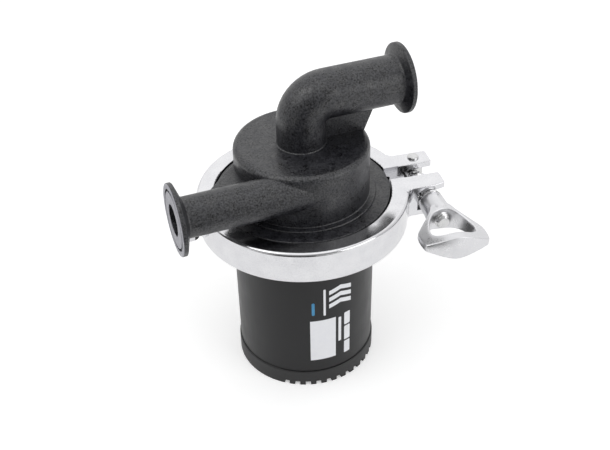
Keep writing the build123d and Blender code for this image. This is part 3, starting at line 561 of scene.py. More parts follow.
class Finishes:
    """Every finish of the pump, made once and handed out by the record's slot name."""

    by_slot: dict[str, Finish] = {
        "head_plastic": HEAD_PLASTIC,
        "can_black": CAN_PAINT,
        "base_plastic": BASE_PLASTIC,
        "stainless": CAST_STAINLESS,
        "bolt_steel": BOLT_STEEL,
        "seal_rubber": SEAL_RUBBER,
        "isolation_plastic": ISOLATION_PLASTIC,
        "ceramic": CERAMIC,
        "bush_carbon": BUSH_CARBON,
        "impeller_plastic": IMPELLER_PLASTIC,
        "magnet": MAGNET,
        "stator_steel": STATOR_STEEL,
        "copper": COPPER,
        "lead_black": LEAD_BLACK,
        "board_green": BOARD_GREEN,
        "board_black": BOARD_BLACK,
        "screw_steel": SCREW_STEEL,
        "socket_metal": SOCKET_METAL,
        "socket_plastic": SOCKET_PLASTIC,
        "pin_gold": PIN_GOLD,
    }

    def __init__(self) -> None:
        """Start with no material made."""
        self.made: dict[str, bpy.types.Material] = {}

    def material(self, finish: Finish) -> bpy.types.Material:
        """Return the finish's material, making it the first time.

        Args:
            finish: The finish.

        Returns:
            Its one material.
        """
        if finish.name not in self.made:
            self.made[finish.name] = finish.build()
        return self.made[finish.name]

    def dress(self, names: tuple[str, ...]) -> None:
        """Give CAD nodes the finishes of their own slots.

        Args:
            names: The nodes' names.
        """
        for name in names:
            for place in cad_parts[name].material_slots:
                slot = place.material.name.split(".")[0]
                place.material = self.material(self.by_slot[slot])
            log.info("dressed %s", name)


finishes = Finishes()


# Shared steps


def direction(azimuth: float, elevation: float) -> Vector:
    """Return the unit vector toward an azimuth and an elevation in degrees."""
    turn, tilt = radians(azimuth), radians(elevation)
    return Vector((cos(tilt) * cos(turn), cos(tilt) * sin(turn), sin(tilt)))


def blend(weights: tuple[float, ...], points: tuple[Point, ...]) -> Point:
    """Return the weighted sum of points in a plane."""
    x, z = (sum(w * p[axis] for w, p in zip(weights, points)) for axis in (0, 1))
    return x, z


def everything(shape: bmesh.types.BMesh) -> list[Any]:
    """Return all vertices, edges and faces of a bmesh."""
    return shape.verts[:] + shape.edges[:] + shape.faces[:]


def finish_mesh(shape: bmesh.types.BMesh, name: str) -> bpy.types.Mesh:
    """Turn a bmesh into a mesh, and free it.

    Args:
        shape: The bmesh.
        name: Name of the mesh.

    Returns:
        The mesh.
    """
    mesh = bpy.data.meshes.new(name)
    shape.to_mesh(mesh)
    shape.free()
    return mesh


def move_into(shape: bmesh.types.BMesh, part: bmesh.types.BMesh) -> None:
    """Move all of one bmesh into another, and free it.

    Args:
        shape: The bmesh that takes it.
        part: The bmesh that is moved.
    """
    mesh = finish_mesh(part, "part")
    shape.from_mesh(mesh)
    bpy.data.meshes.remove(mesh)


def add_object(name: str, data: bpy.types.ID) -> bpy.types.Object:
    """Put a mesh, a lamp or a camera in the scene.

    Args:
        name: Name of the object.
        data: What it shows.

    Returns:
        The object, at the origin.
    """
    item = bpy.data.objects.new(name, data)
    bpy.context.scene.collection.objects.link(item)
    return item


def add_piece(
    name: str, shape: bmesh.types.BMesh, finish: Finish, body: str
) -> bpy.types.Object:
    """Turn a finished bmesh into a piece that rides on a body.

    Args:
        name: Name of the piece.
        shape: The mesh in metres, in place. It is freed here.
        finish: What the piece is made of.
        body: The CAD body that the piece rides on.

    Returns:
        The new object.
    """
    bmesh.ops.remove_doubles(shape, verts=shape.verts, dist=WELD)
    bmesh.ops.recalc_face_normals(shape, faces=shape.faces)
    mesh = finish_mesh(shape, name)
    mesh.shade_smooth()
    mesh.set_sharp_from_angle(angle=SHARP_ANGLE)
    mesh.materials.append(finishes.material(finish))
    piece = add_object(name, mesh)
    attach(piece, body)
    log.info("built %s: %d faces", name, len(mesh.polygons))
    return piece


def turn_profile(
    shape: bmesh.types.BMesh, points: list[Point], steps: int
) -> list[bmesh.types.BMVert]:
    """Spin a closed profile a full turn about Z.

    Args:
        shape: The bmesh that takes the ring.
        points: The profile's corners as radius and height.
        steps: Steps of the turn.

    Returns:
        The vertices of the ring.
    """
    corners = [shape.verts.new((radius, 0.0, height)) for radius, height in points]
    sides = [shape.edges.new((a, b)) for a, b in zip(corners, corners[1:] + corners[:1])]
    before = set(shape.verts) - set(corners)
    bmesh.ops.spin(
        shape,
        geom=corners + sides,
        cent=(0, 0, 0),
        axis=(0, 0, 1),
        angle=2 * pi,
        steps=steps,
        use_merge=True,
    )
    return [v for v in shape.verts if v not in before]


# Sub-assemblies


@dataclass
class SubAssembly:
    """CAD nodes that are dressed together.

    Attributes:
        nodes: Their names.
    """

    nodes: tuple[str, ...] = ()

    def build(self) -> None:
        """Dress the nodes."""
        finishes.dress(self.nodes)


@dataclass
class PumpHead(SubAssembly):
    """The moulded head and the seal under its flange.

    Attributes:
        nodes: The CAD nodes it dresses.
        faces: Where the outlet's and the inlet's faces lie.
        port_glare_depth: Depth, from each port's face, of the band that takes the painted
            highlight.
        turned: Pale colour painted on the ports' faces as a highlight for their glare, sRGB.
    """

    nodes: tuple[str, ...] = ("pump_head", "head_seal")
    faces: tuple[float, float] = (-69.9, 51.8)
    port_glare_depth: float = 0.2
    turned: str = "#8a8a93"

    def paint_port_glare(self) -> None:
        """Paint the ports' faces paler: a painted highlight that stands in for the glare on them.
        """
        tree = finishes.material(HEAD_PLASTIC).node_tree
        shader = next(node for node in tree.nodes if node.type == "BSDF_PRINCIPLED")
        moulded = shader.inputs["Base Color"].links[0].from_socket
        middle = sum(self.faces) / 2
        depth = (self.faces[1] - self.faces[0]) / 2 - self.port_glare_depth
        place = add_node(tree, "ShaderNodeTexCoord").outputs["Object"]
        # Mask of the ports' faces, which take the painted highlight
        port_glare_mask = add_node(tree, "ShaderNodeSeparateXYZ", {0: place}).outputs[0]
        for operation, value in (("SUBTRACT", middle), ("ABSOLUTE", 0.0), ("GREATER_THAN", depth)):
            port_glare_mask = add_node(
                tree, "ShaderNodeMath", {0: port_glare_mask, 1: value * MM}, operation=operation
            ).outputs[0]
        # Painted highlight: the pale colour replaces the moulded one on the ports' faces
        colour = add_node(
            tree,
            "ShaderNodeMix",
            {MIX_SHARE: port_glare_mask, MIX_FIRST: moulded, MIX_SECOND: linear(self.turned)},
            data_type="RGBA",
        ).outputs[MIX_RESULT]
        tree.links.new(colour, shader.inputs["Base Color"])

    def build(self) -> None:
        """Dress the head's nodes and paint a highlight on its ports' faces."""
        super().build()
        self.paint_port_glare()


@dataclass
class Rotor(SubAssembly):
    """Everything on the shaft, with the can that keeps it wet.

    Attributes:
        nodes: The CAD nodes it dresses.
    """

    nodes: tuple[str, ...] = (
        "isolation_can",
        "pump_shaft",
        "rear_thrust_washer",
        "front_thrust_washer",
        "rear_bush",
        "front_bush",
        "impeller",
        "rotor_magnet",
    )


@dataclass
class Motor(SubAssembly):
    """Can, base, windings, electronics and power inlet, with the print on the can.

    An upright bar of print is given as its two azimuths round the can in degrees, its two heights,
    and the rounding of its corners.

    Attributes:
        nodes: The CAD nodes it dresses.
        foot_r: Radius of the can at its foot.
        foot_z: Height of the can's foot.
        top_r: Radius of the can at its top.
        top_z: Height of the can's top.
        ink_lift: Gap under the ink.
        ink_depth: Thickness of the ink.
        ink_step: Azimuth that a flat stretch of the ink spans at most, in degrees.
        ink_segments: Flat stretches in a rounded corner.
        panel: The plain panel.
        bars: The bars round it.
        blue_bar: The blue bar.
        chevron_sides: Azimuths of a chevron's left end, its peak and its right end.
        chevron_low: Height of the lowest chevron's ends.
        chevron_pitch: Height from one chevron to the next.
        chevron_rise: How far a chevron's peak stands over its ends.
        chevron_depth: Height of its stroke.
        chevrons: How many there are.
    """

    nodes: tuple[str, ...] = (
        "motor_housing",
        "base_cover",
        "base_seal",
        "base_screws",
        "stator_core",
        "stator_coils",
        "phase_leads",
        "driver_board",
        "board_parts",
        "board_screws",
        "power_socket",
        "socket_insert",
        "socket_pins",
        "socket_nut",
        "power_leads",
    )
    foot_r: float = 35.0
    foot_z: float = 9.4
    top_r: float = 35.3
    top_z: float = 82.0
    ink_lift: float = 0.03
    ink_depth: float = 0.05
    ink_step: float = 1.5
    ink_segments: int = 3
    panel: tuple[float, ...] = (-106.5, -84.7, 16.9, 43.6, 0.0)
    bars: tuple[tuple[float, ...], ...] = (
        (-76.6, -70.8, 16.5, 24.6, 0.5),
        (-76.6, -70.8, 25.6, 34.9, 0.5),
        (-76.6, -70.8, 35.9, 44.0, 0.5),
        (-82.2, -79.6, 26.4, 42.6, 0.4),
        (-95.3, -93.4, 46.5, 63.4, 0.4),
    )
    blue_bar: tuple[float, ...] = (-105.0, -102.6, 47.5, 55.5, 0.6)
    chevron_sides: tuple[float, float, float] = (-90.5, -80.25, -70.0)
    chevron_low: float = 50.5
    chevron_pitch: float = 4.3
    chevron_rise: float = 2.0
    chevron_depth: float = 2.6
    chevrons: int = 3

    def wall_r(self, z: float) -> float:
        """Return the radius of the can's wall at a height."""
        share = (z - self.foot_z) / (self.top_z - self.foot_z)
        return self.foot_r + (self.top_r - self.foot_r) * share

    def upright(self, bar: tuple[float, ...]) -> tuple[list[Point], float]:
        """Return an upright bar's corners, as azimuth and height, and their rounding."""
        left, right, low, high, rounding = bar
        return [(left, low), (right, low), (right, high), (left, high)], rounding

    def chevron(self, number: int) -> tuple[list[Point], float]:
        """Return the corners of a chevron, counted from the lowest, and their rounding.

        Args:
            number: 0 for the lowest chevron.

        Returns:
            The corners as azimuth and height, and 0 for sharp ones.
        """
        left, peak, right = self.chevron_sides
        low = self.chevron_low + number * self.chevron_pitch
        lower = [(left, low), (peak, low + self.chevron_rise), (right, low)]
        return lower + [(a, z + self.chevron_depth) for a, z in reversed(lower)], 0.0

    def ink_patch(self, shape: bmesh.types.BMesh, corners: list[Point], rounding: float) -> None:
        """Lay a thin flat patch of ink round the can.

        Args:
            shape: The bmesh that takes the patch.
            corners: The patch's corners as azimuth in degrees and height in millimetres.
            rounding: Radius of its corners in millimetres.
        """
        per_degree = radians(1) * self.foot_r
        flat = bmesh.new()
        face = flat.faces.new([flat.verts.new((a * per_degree, z, 0.0)) for a, z in corners])
        if rounding:
            bmesh.ops.bevel(
                flat,
                geom=face.verts[:],
                offset=rounding,
                affect="VERTICES",
                segments=self.ink_segments,
                profile=0.5,
                material=-1,
            )
        first, last = min(a for a, _ in corners), max(a for a, _ in corners)
        cuts = max(ceil((last - first) / self.ink_step), 1)
        for number in range(1, cuts):
            x = (first + (last - first) * number / cuts) * per_degree
            bmesh.ops.bisect_plane(
                flat, geom=everything(flat), plane_co=(x, 0, 0), plane_no=(1, 0, 0)
            )
        raised = bmesh.ops.extrude_face_region(flat, geom=flat.faces[:])["geom"]
        top = {item for item in raised if isinstance(item, bmesh.types.BMVert)}
        for vert in flat.verts:
            depth = self.ink_depth if vert in top else 0.0
            radius = self.wall_r(vert.co.y) + self.ink_lift + depth
            angle = vert.co.x / self.foot_r
            vert.co = Vector((radius * cos(angle), radius * sin(angle), vert.co.y)) * MM
        move_into(shape, flat)

    def build_print(self) -> None:
        """Build the plain panel and the generic bars and chevrons round it."""
        chevrons = [self.chevron(number) for number in range(self.chevrons)]
        for name, outlines, ink in (
            ("print_panel", [self.upright(self.panel)], WHITE_INK),
            ("print_bars", [self.upright(bar) for bar in self.bars], WHITE_INK),
            ("print_chevrons", chevrons, WHITE_INK),
            ("print_blue_bar", [self.upright(self.blue_bar)], BLUE_INK),
        ):
            shape = bmesh.new()
            for corners, rounding in outlines:
                self.ink_patch(shape, corners, rounding)
            add_piece(name, shape, ink, "pump_body")

    def build(self) -> None:
        """Dress the motor's nodes and print the can."""
        super().build()
        self.build_print()


@dataclass
class RingClamp(SubAssembly):
    """The two halves of the ring clamp and their pins.

    Attributes:
        nodes: The CAD nodes it dresses.
    """

    nodes: tuple[str, ...] = (
        "clamp_rear_half",
        "clamp_front_half",
        "clamp_hinge_pin",
        "bolt_pivot_pin",
    )


@dataclass
class ClampScrew(SubAssembly):
    """Swing bolt with its rolled thread, washer and wing nut.

    Attributes:
        nodes: The CAD nodes it dresses, which finer pieces then replace.
        turn: Turn of the clamp about Z, in degrees.
        along: Distance of the bolt's pivot from the pump's axis.
        across: Distance of the pivot behind the clamp's split.
        height: Height of the clamped joint.
        eye_r: Outer radius of the eye.
        eye_bore_r: Radius of the eye's bore.
        eye_half: Half the eye's height.
        eye_edge: Rounding of the eye's edges.
        eye_bulge: How far the rounding's middle lies from the sharp corner, as a share of it.
        eye_steps: Flat faces round the eye.
        bolt_r: Outer radius of the thread.
        root_r: Radius of the thread's valleys.
        pitch: Rise of the thread in one turn.
        crest: Where the thread's flat crest starts and ends, as shares of the pitch.
        thread_start: Where the thread starts, from the pivot.
        thread_steps: Steps of the thread in one turn.
        neck_steps: Flat faces round the neck.
        reach: Where the bolt ends.
        chamfer: Chamfer of its end.
        washer: The washer's two radii and where its faces lie.
        washer_edge: Chamfer of the washer's edges.
        washer_steps: Flat faces round the washer.
    """

    nodes: tuple[str, ...] = ("nut_washer", "wing_nut", "swing_bolt")
    turn: float = -6.0
    along: float = 60.8
    across: float = 10.5
    height: float = 91.5
    eye_r: float = 5.2
    eye_bore_r: float = 2.55
    eye_half: float = 4.9
    eye_edge: float = 0.8
    eye_bulge: float = 0.3
    eye_steps: int = 48
    bolt_r: float = 4.0
    root_r: float = 3.35
    pitch: float = 1.25
    crest: tuple[float, float] = (0.4, 0.6)
    thread_start: float = 8.0
    thread_steps: int = 28
    neck_steps: int = 32
    reach: float = 46.0
    chamfer: float = 1.3
    washer: tuple[float, float, float, float] = (4.1, 6.1, 26.3, 27.8)
    washer_edge: float = 0.25
    washer_steps: int = 64

    def axes(self) -> Matrix:
        """Work out the bolt's own axes: X along the lugs and Z along the bolt.

        Returns:
            The matrix from millimetres on those axes to metres in the scene.
        """
        angle = radians(self.turn)
        lug = Vector((cos(angle), sin(angle), 0.0))
        bolt = Vector((sin(angle), -cos(angle), 0.0))
        pivot = (lug * self.along - bolt * self.across + Vector((0.0, 0.0, self.height))) * MM
        side = bolt.cross(lug)
        axes = Matrix((lug, side, bolt)).transposed().to_4x4()
        return Matrix.Translation(pivot) @ axes @ Matrix.Scale(MM, 4)

    def build_bolt(self) -> None:
        """Build the eye, the plain neck and the helical thread."""
        shape = bmesh.new()
        edge, half, bulge = self.eye_edge, self.eye_half, self.eye_bulge * self.eye_edge
        side = [
            (self.eye_bore_r, half),
            (self.eye_r - edge, half),
            (self.eye_r - bulge, half - bulge),
            (self.eye_r, half - edge),
        ]
        eye = turn_profile(shape, [(r, -z) for r, z in side] + side[::-1], self.eye_steps)
        upright = Matrix.Rotation(radians(90), 3, "X")
        bmesh.ops.rotate(shape, verts=eye, cent=(0, 0, 0), matrix=upright)
        neck_start = (self.eye_bore_r + self.eye_r) / 2
        neck_end = self.thread_start + self.pitch
        turn_profile(
            shape,
            [
                (0.0, neck_start),
                (self.root_r, neck_start),
                (self.root_r, neck_end),
                (0.0, neck_end),
            ],
            self.neck_steps,
        )
        move_into(shape, self.thread())
        shape.transform(self.axes())
        bolt = add_piece("threaded_swing_bolt", shape, BOLT_STEEL, "eye_bolt")
        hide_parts("swing_bolt")

    def build_washer(self) -> None:
        """Turn the washer with a chamfer at both faces, in place of the plain one."""
        inner, outer, low, high = self.washer
        edge = self.washer_edge
        shape = bmesh.new()
        turn_profile(
            shape,
            [
                (inner, low),
                (outer - edge, low),
                (outer, low + edge),
                (outer, high - edge),
                (outer - edge, high),
                (inner, high),
            ],
            self.washer_steps,
        )
        shape.transform(self.axes())
        washer = add_piece("chamfered_washer", shape, BOLT_STEEL, "washer")
        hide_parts("nut_washer")

    def thread(self) -> bmesh.types.BMesh:
        """Spin one pitch of the thread's profile into a helix and cut it to length.

        Returns:
            The closed thread, in millimetres on the bolt's axes.
        """
        turns = ceil((self.reach - self.thread_start) / self.pitch) + 2
        helix = bmesh.new()
        start = self.thread_start - self.pitch
        rise, fall = self.crest
        profile = [(self.root_r, 0.0), (self.bolt_r, rise), (self.bolt_r, fall), (self.root_r, 1.0)]
        corners = [helix.verts.new((r, 0.0, start + share * self.pitch)) for r, share in profile]
        sides = [helix.edges.new(pair) for pair in zip(corners, corners[1:])]
        bmesh.ops.spin(
            helix,
            geom=corners + sides,
            cent=(0, 0, 0),
            axis=(0, 0, 1),
            dvec=(0, 0, self.pitch / self.thread_steps),
            angle=2 * pi * turns,
            steps=self.thread_steps * turns,
            use_merge=False,
        )
        bmesh.ops.remove_doubles(helix, verts=helix.verts, dist=0.001)
        for z, side in ((self.thread_start, -1), (self.reach, 1)):
            bmesh.ops.bisect_plane(
                helix,
                geom=everything(helix),
                dist=0.0001,
                plane_co=(0, 0, z),
                plane_no=(0, 0, side),
                clear_outer=True,
            )
        bmesh.ops.holes_fill(helix, edges=[e for e in helix.edges if e.is_boundary])
        for vert in helix.verts:
            limit = self.bolt_r - self.chamfer + (self.reach - vert.co.z)
            radius = Vector((vert.co.x, vert.co.y)).length
            if radius > limit:
                vert.co.x *= limit / radius
                vert.co.y *= limit / radius
        return helix

    def build(self) -> None:
        """Dress the plain nodes, and build the bolt, the washer and the nut in their place."""
        super().build()
        self.build_bolt()
        self.build_washer()
        WingNut(self).build()


@dataclass
class WingNut:
    """Cast wing nut: a barrel, and two wings that run round a window as one frame.

    The nut's own axes are X across the wings, Y through them and Z along the bolt, in millimetres.
    Its outlines are measured along the bolt from the barrel's end at the washer.

    Attributes:
        bolt: The clamp screw that carries the nut.
        start: Where the nut starts, from the bolt's pivot.
        roll: Turn of the wings about the bolt, in degrees.
        foot: The outer outline's first points, at the barrel; the last is where the side starts.
        leave: Direction and strength with which the side's curve leaves the barrel.
        arrive: The same where it reaches the shoulder.
        half: Half the width over the wings.
        shoulder: Where the wings reach their full width.
        end: Where their sides end.
        crown: How far the end face bulges.
        corner: Rounding between side and end face.
        middle: Half the thickness in the middle.
        tip: Half the thickness at the wings' sides.
        ridge: Rounding of the ridge between the two flat sides.
        centre: A point in the window that both outlines are seen from.
        rim: Rounding of the window's rim.
        rim_segments: Flat strips in that rounding.
        edge: Rounding of the outer edges.
        edge_segments: Flat strips in that rounding.
        stations: Steps round the frame.
        side_steps: Steps of the outline's side.
        corner_steps: Steps of its corner.
        crown_steps: Steps of its crown.
        window_steps: Steps of the window's outline for each of its control points.
        strips: Where loops lie, from 0 at the window's rim to 1 at the outer outline.
        barrel: Radius and place of each corner of the barrel's profile.
        barrel_steps: Flat faces round the barrel.
        window: Control points of half the window's outline.
    """

    bolt: ClampScrew
    start: float = 27.85
    roll: float = -5.0
    foot: tuple[Point, ...] = ((0.0, 9.8), (4.6, 10.0), (5.6, 11.0))
    leave: Point = (0.5, 9.0)
    arrive: Point = (11.0, 14.0)
    half: float = 16.2
    shoulder: float = 25.5
    end: float = 36.0
    crown: float = 2.4
    corner: float = 1.6
    middle: float = 6.3
    tip: float = 1.6
    ridge: float = 4.0
    centre: float = 25.0
    rim: float = 1.3
    rim_segments: int = 5
    edge: float = 0.45
    edge_segments: int = 3
    stations: int = 112
    side_steps: int = 16
    corner_steps: int = 6
    crown_steps: int = 8
    window_steps: int = 12
    strips: tuple[float, ...] = (0.0, 0.4, 0.6, 0.8, 1.0)
    barrel: tuple[Point, ...] = (
        (4.05, 0.0),
        (5.6, 0.0),
        (6.0, 0.15),
        (6.2, 0.6),
        (6.25, 3.0),
        (6.35, 6.0),
        (6.5, 9.0),
        (6.7, 12.0),
        (6.6, 13.0),
        (6.2, 13.8),
        (5.4, 14.2),
        (4.05, 14.2),
    )
    barrel_steps: int = 64
    window: tuple[Point, ...] = ((6.0, 14.6), (11.9, 27.6), (9.0, 33.4))

    def outline(self) -> list[Point]:
        """Trace the outer outline from the barrel's side to the crown.

        Returns:
            Points of the half outline with X positive.
        """
        points = list(self.foot[:-1])
        ends = (self.foot[-1], (self.half, self.shoulder), self.leave, self.arrive)
        for number in range(self.side_steps + 1):
            s = number / self.side_steps
            far = 3 * s**2 - 2 * s**3
            near = 2 * s**3 - 3 * s**2 + 1
            points.append(blend((near, far, s**3 - 2 * s**2 + s, s**3 - s**2), ends))
        sweep = (self.half**2 + self.crown**2) / (2 * self.crown)
        side = self.half - self.corner
        peak = self.end + self.crown
        top = peak - side**2 / (2 * sweep)
        for number in range(self.corner_steps + 1):
            angle = radians(90 * number / self.corner_steps)
            points.append((side + self.corner * cos(angle), top - self.corner * (1 - sin(angle))))
        for number in range(1, self.crown_steps + 1):
            x = side * (1 - number / self.crown_steps)
            points.append((x, peak - x * x / (2 * sweep)))
        return points

    def opening(self) -> list[Point]:
        """Trace half the window's outline as a smooth curve through its control points.

        Returns:
            Points of the half outline with X positive.
        """
        (ax, az), *_, (bx, bz) = self.window
        control = [(-ax, az), *self.window, (-bx, bz)]
        points = []
        for three in zip(control, control[1:], control[2:]):
            for number in range(self.window_steps):
                s = number / self.window_steps
                weights = ((1 - s) ** 2 / 2, (1 + 2 * s - 2 * s * s) / 2, s * s / 2)
                points.append(blend(weights, three))
        return points + [(0.0, bz)]

    def reach(self, points: list[Point], angle: float) -> float:
        """Find how far a half outline lies from the centre in one direction.

        Args:
            points: The half outline.
            angle: Direction from the barrel's side, in radians up to half a turn.

        Returns:
            The distance.
        """
        polar = [(abs(atan2(x, self.centre - z)), hypot(x, z - self.centre)) for x, z in points]
        for (a, r), (b, s) in zip(polar, polar[1:]):
            if a <= angle <= b:
                return r + (s - r) * (angle - a) / max(b - a, 1e-9)
        return polar[-1][1]

    def thickness(self, x: float) -> float:
        """Work out half the wings' thickness.

        Args:
            x: Distance from the middle.

        Returns:
            Half the thickness there.
        """
        fall = hypot(x, self.ridge) - self.ridge
        whole = hypot(self.half, self.ridge) - self.ridge
        return self.middle - (self.middle - self.tip) * fall / whole

    def loop(
        self, shape: bmesh.types.BMesh, share: float, side: int
    ) -> list[bmesh.types.BMEdge]:
        """Draw one closed loop round the window.

        Args:
            shape: The bmesh that takes the loop.
            share: 0 at the window's rim and 1 at the outer outline.
            side: 1 for the upper surface and -1 for the lower.

        Returns:
            The loop's edges.
        """
        inner, outer = self.opening(), self.outline()
        verts = []
        for number in range(self.stations):
            turn = 2 * pi * number / self.stations
            angle = min(turn, 2 * pi - turn)
            near, far = self.reach(inner, angle), self.reach(outer, angle)
            radius = near + (far - near) * share
            x, z = radius * sin(turn), self.centre - radius * cos(turn)
            verts.append(shape.verts.new((x, side * self.thickness(x), z)))
        return [shape.edges.new(pair) for pair in zip(verts, verts[1:] + verts[:1])]

    def build(self) -> None:
        """Build the barrel and the frame as one piece in place of the plain nut."""
        shape = bmesh.new()
        loops = [self.loop(shape, share, 1) for share in self.strips]
        loops += [self.loop(shape, share, -1) for share in reversed(self.strips)]
        for one, other in zip(loops, loops[1:] + loops[:1]):
            bmesh.ops.bridge_loops(shape, edges=one + other)
        bmesh.ops.recalc_face_normals(shape, faces=shape.faces)
        outer = len(self.strips) - 1
        for picked, offset, segments in (
            (loops[0] + loops[-1], self.rim, self.rim_segments),
            (loops[outer] + loops[outer + 1], self.edge, self.edge_segments),
        ):
            bmesh.ops.bevel(
                shape,
                geom=picked,
                offset=offset,
                affect="EDGES",
                segments=segments,
                profile=0.5,
                material=-1,
                clamp_overlap=True,
            )
        turn_profile(shape, list(self.barrel), self.barrel_steps)
        place = Matrix.Translation((0, 0, self.start)) @ Matrix.Rotation(radians(self.roll), 4, "Z")
        shape.transform(self.bolt.axes() @ place)
        nut = add_piece("cast_wing_nut", shape, NUT_STAINLESS, "nut")
        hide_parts("wing_nut")


@dataclass(frozen=True)
class Softbox:
    """A square lamp that faces the pump.

    Attributes:
        name: Name of the lamp.
        azimuth: Where it stands, in degrees.
        elevation: How high it stands, in degrees.
        distance: Its distance from what it lights, in metres.
        size: Its side, in metres.
        power: Its power, in watts.
    """

    name: str
    azimuth: float
    elevation: float
    distance: float
    size: float
    power: float

    def build(self, target: Vector) -> None:
        """Add the lamp.

        Args:
            target: The point that it lights.
        """
        data = bpy.data.lights.new(self.name, "AREA")
        data.shape = "SQUARE"
        data.size = self.size
        data.energy = self.power
        lamp = add_object(self.name, data)
        back = direction(self.azimuth, self.elevation)
        lamp.location = target + back * self.distance
        lamp.rotation_euler = back.to_track_quat("Z", "Y").to_euler()


@dataclass
class Studio:
    """Floor, lamps, world and the camera at the photograph's viewing angle.

    Attributes:
        azimuth: Azimuth of the camera, in degrees.
        elevation: Its elevation, in degrees.
        roll: Its roll, in degrees.
        distance: Its distance from the target, in millimetres.
        aim: What it aims at, before the small offsets in the picture's plane.
        offset: Those offsets, to the right and up.
        focal: Focal length in pixels of the 610 pixel wide picture.
        width: Width of that picture, in pixels.
        sensor: Width of the camera's sensor, in millimetres.
        clip: The nearest and the farthest that the camera sees, in metres.
        floor_half: Half the floor's side, in metres.
        floor_colour: Colour of the floor's paper, sRGB.
        floor_glow: Light the floor adds of its own where the camera sees it.
        mirrored_glow: The same where a reflection shows it.
        paper_roughness: Roughness of the floor's paper and the black card.
        room_light: Strength of the room's light on the pump.
        room_front: Brightness of the room's front in reflections; its back is 1.
        room_blend: Half the span, as a cosine, over which the room goes from front to back.
        bright_azimuth: Azimuth of the room's brightest side, in degrees.
        bright_elevation: That side's elevation, in degrees.
        lit_height: Height of the point that the lamps face.
        softboxes: The lamps.
        flag_colour: Colour of the black card, sRGB.
        flag_azimuth: Azimuth of the card's middle, in degrees.
        flag_gap: Height of its flat part over the floor.
        flag_start: How far from the axis it begins.
        flag_end: How far from the axis it turns up.
        flag_width: Its width.
        flag_height: Height of the part that stands up.
    """

    azimuth: float = -110.023
    elevation: float = 37.257
    roll: float = -1.353
    distance: float = 522.02
    aim: tuple[float, float, float] = (0.0, 0.0, 80.0)
    offset: Point = (0.848, -2.136)
    focal: float = 1041.23
    width: int = 610
    sensor: float = 36.0
    clip: tuple[float, float] = (0.01, 20.0)
    floor_half: float = 3.0
    floor_colour: str = "#f4f4f4"
    floor_glow: float = 0.38
    mirrored_glow: float = 0.25
    paper_roughness: float = 0.9
    room_light: float = 0.6
    room_front: float = 0.25
    room_blend: float = 0.5
    bright_azimuth: float = 75.0
    bright_elevation: float = 35.0
    lit_height: float = 90.0
    softboxes: tuple[Softbox, ...] = (
        Softbox("back_softbox", 70.0, 42.0, 1.5, 1.6, 1.3),
        Softbox("top_softbox", -110.0, 76.0, 1.2, 1.0, 1.2),
        Softbox("left_softbox", -170.0, 50.0, 1.2, 0.8, 2.4),
        Softbox("right_softbox", -55.0, 22.0, 1.1, 0.7, 2.5),
    )
    flag_colour: str = "#151515"
    flag_azimuth: float = -118.0
    flag_gap: float = 2.0
    flag_start: float = 195.0
    flag_end: float = 620.0
    flag_width: float = 420.0
    flag_height: float = 110.0

    def add_camera(self) -> None:
        """Place the camera and make it the scene's own."""
        turn, roll = radians(self.azimuth), radians(self.roll)
        back = direction(self.azimuth, self.elevation)
        level = Vector((-sin(turn), cos(turn), 0.0))
        upright = back.cross(level)
        right = level * cos(roll) + upright * sin(roll)
        up = upright * cos(roll) - level * sin(roll)
        target = Vector(self.aim) + right * self.offset[0] + up * self.offset[1]
        data = bpy.data.cameras.new("camera")
        data.sensor_width = self.sensor
        data.lens = self.focal / self.width * self.sensor
        data.clip_start, data.clip_end = self.clip
        camera = add_object("camera", data)
        axes = Matrix((right, up, back)).transposed().to_4x4()
        camera.matrix_world = Matrix.Translation((target + back * self.distance) * MM) @ axes
        bpy.context.scene.camera = camera

    def add_floor(self) -> None:
        """Add the pale floor: white to the camera and in reflections, with the pump's shadow."""
        shape = bmesh.new()
        bmesh.ops.create_grid(shape, x_segments=4, y_segments=4, size=self.floor_half)
        mesh = finish_mesh(shape, "floor")
        floor = add_object("floor", mesh)
        # White paper, uncoated: matt and even, so that the pump's shadow lies soft on it
        material = bpy.data.materials.new("white_paper_sweep")
        tree = empty_tree(material)
        seen, mirrored = ray_kinds(tree)
        faint = add_node(
            tree, "ShaderNodeMath", {0: mirrored, 1: self.mirrored_glow}, operation="MULTIPLY"
        ).outputs[0]
        glow = add_node(
            tree,
            "ShaderNodeMath",
            {0: seen, 1: self.floor_glow, 2: faint},
            operation="MULTIPLY_ADD",
        ).outputs[0]
        paper = add_node(
            tree,
            "ShaderNodeBsdfPrincipled",
            {
                "Base Color": linear(self.floor_colour),
                "Roughness": self.paper_roughness,
                "Emission Color": WHITE,
                "Emission Strength": glow,
            },
        )
        add_node(tree, "ShaderNodeOutputMaterial", {"Surface": paper.outputs[0]})
        mesh.materials.append(material)

    def add_flag(self) -> None:
        """Add a bent black card that only reflections show: on the floor in front, then upright."""
        card = bmesh.new()
        edge = [
            card.verts.new(
                (self.flag_start * MM, side * self.flag_width / 2 * MM, self.flag_gap * MM)
            )
            for side in (-1, 1)
        ]
        strip = card.edges.new(edge)
        for step in (
            (self.flag_end - self.flag_start, 0.0, 0.0),
            (0.0, 0.0, self.flag_height),
        ):
            made = bmesh.ops.extrude_edge_only(card, edges=[strip])["geom"]
            corners = [item for item in made if isinstance(item, bmesh.types.BMVert)]
            bmesh.ops.translate(card, verts=corners, vec=Vector(step) * MM)
            strip = next(
                item
                for item in made
                if isinstance(item, bmesh.types.BMEdge) and all(v in corners for v in item.verts)
            )
        turn = Matrix.Rotation(radians(self.flag_azimuth), 3, "Z")
        bmesh.ops.rotate(card, verts=card.verts, cent=(0, 0, 0), matrix=turn)
        mesh = finish_mesh(card, "black_flag")
        flag = add_object("black_flag", mesh)
        flag.visible_camera = False
        flag.visible_diffuse = False
        flag.visible_shadow = False
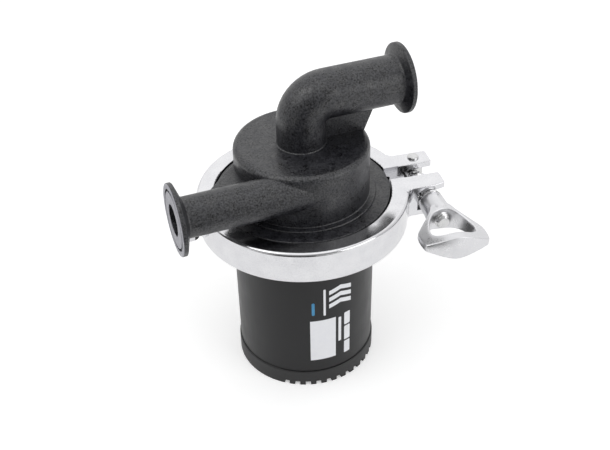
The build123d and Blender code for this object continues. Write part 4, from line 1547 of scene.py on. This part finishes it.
        # Black card, dyed through: matt, so that what mirrors it goes dark without a glare
        material = bpy.data.materials.new("black_card")
        tree = empty_tree(material)
        paper = add_node(
            tree,
            "ShaderNodeBsdfPrincipled",
            {"Base Color": linear(self.flag_colour), "Roughness": self.paper_roughness},
        )
        add_node(tree, "ShaderNodeOutputMaterial", {"Surface": paper.outputs[0]})
        mesh.materials.append(material)

    def add_world(self) -> None:
        """Light the scene evenly; reflections see a white room that is dimmer in front."""
        world = bpy.data.worlds.new("white_room")
        bpy.context.scene.world = world
        tree = empty_tree(world)
        seen, mirrored = ray_kinds(tree)
        way = add_node(tree, "ShaderNodeTexCoord").outputs["Generated"]
        bright = direction(self.bright_azimuth, self.bright_elevation)
        toward = add_node(
            tree, "ShaderNodeVectorMath", {0: way, 1: bright}, operation="DOT_PRODUCT"
        ).outputs["Value"]
        room = add_node(
            tree,
            "ShaderNodeMapRange",
            {
                "Value": toward,
                "From Min": -self.room_blend,
                "From Max": self.room_blend,
                "To Min": self.room_front,
                "To Max": 1.0,
            },
        ).outputs[0]
        lit = add_node(
            tree,
            "ShaderNodeMapRange",
            {"Value": mirrored, "To Min": self.room_light, "To Max": room},
        ).outputs[0]
        strength = add_node(
            tree, "ShaderNodeMapRange", {"Value": seen, "To Min": lit, "To Max": 1.0}
        ).outputs[0]
        light = add_node(tree, "ShaderNodeBackground", {"Color": WHITE, "Strength": strength})
        add_node(tree, "ShaderNodeOutputWorld", {"Surface": light.outputs[0]})

    def build(self) -> None:
        """Set up everything that isn't the pump."""
        bpy.context.scene.view_settings.view_transform = "Standard"
        self.add_camera()
        self.add_floor()
        self.add_world()
        for softbox in self.softboxes:
            softbox.build(Vector((0.0, 0.0, self.lit_height * MM)))
        self.add_flag()
        log.info("studio ready")


def main() -> None:
    """Build the pump's sub-assemblies and the studio in order."""
    for part in (PumpHead(), Rotor(), Motor(), RingClamp(), ClampScrew(), Studio()):
        part.build()
        log.info("%s done", type(part).__name__)


if __name__ == "__main__":
    logging.basicConfig(level=logging.INFO, format="%(message)s")
    main()
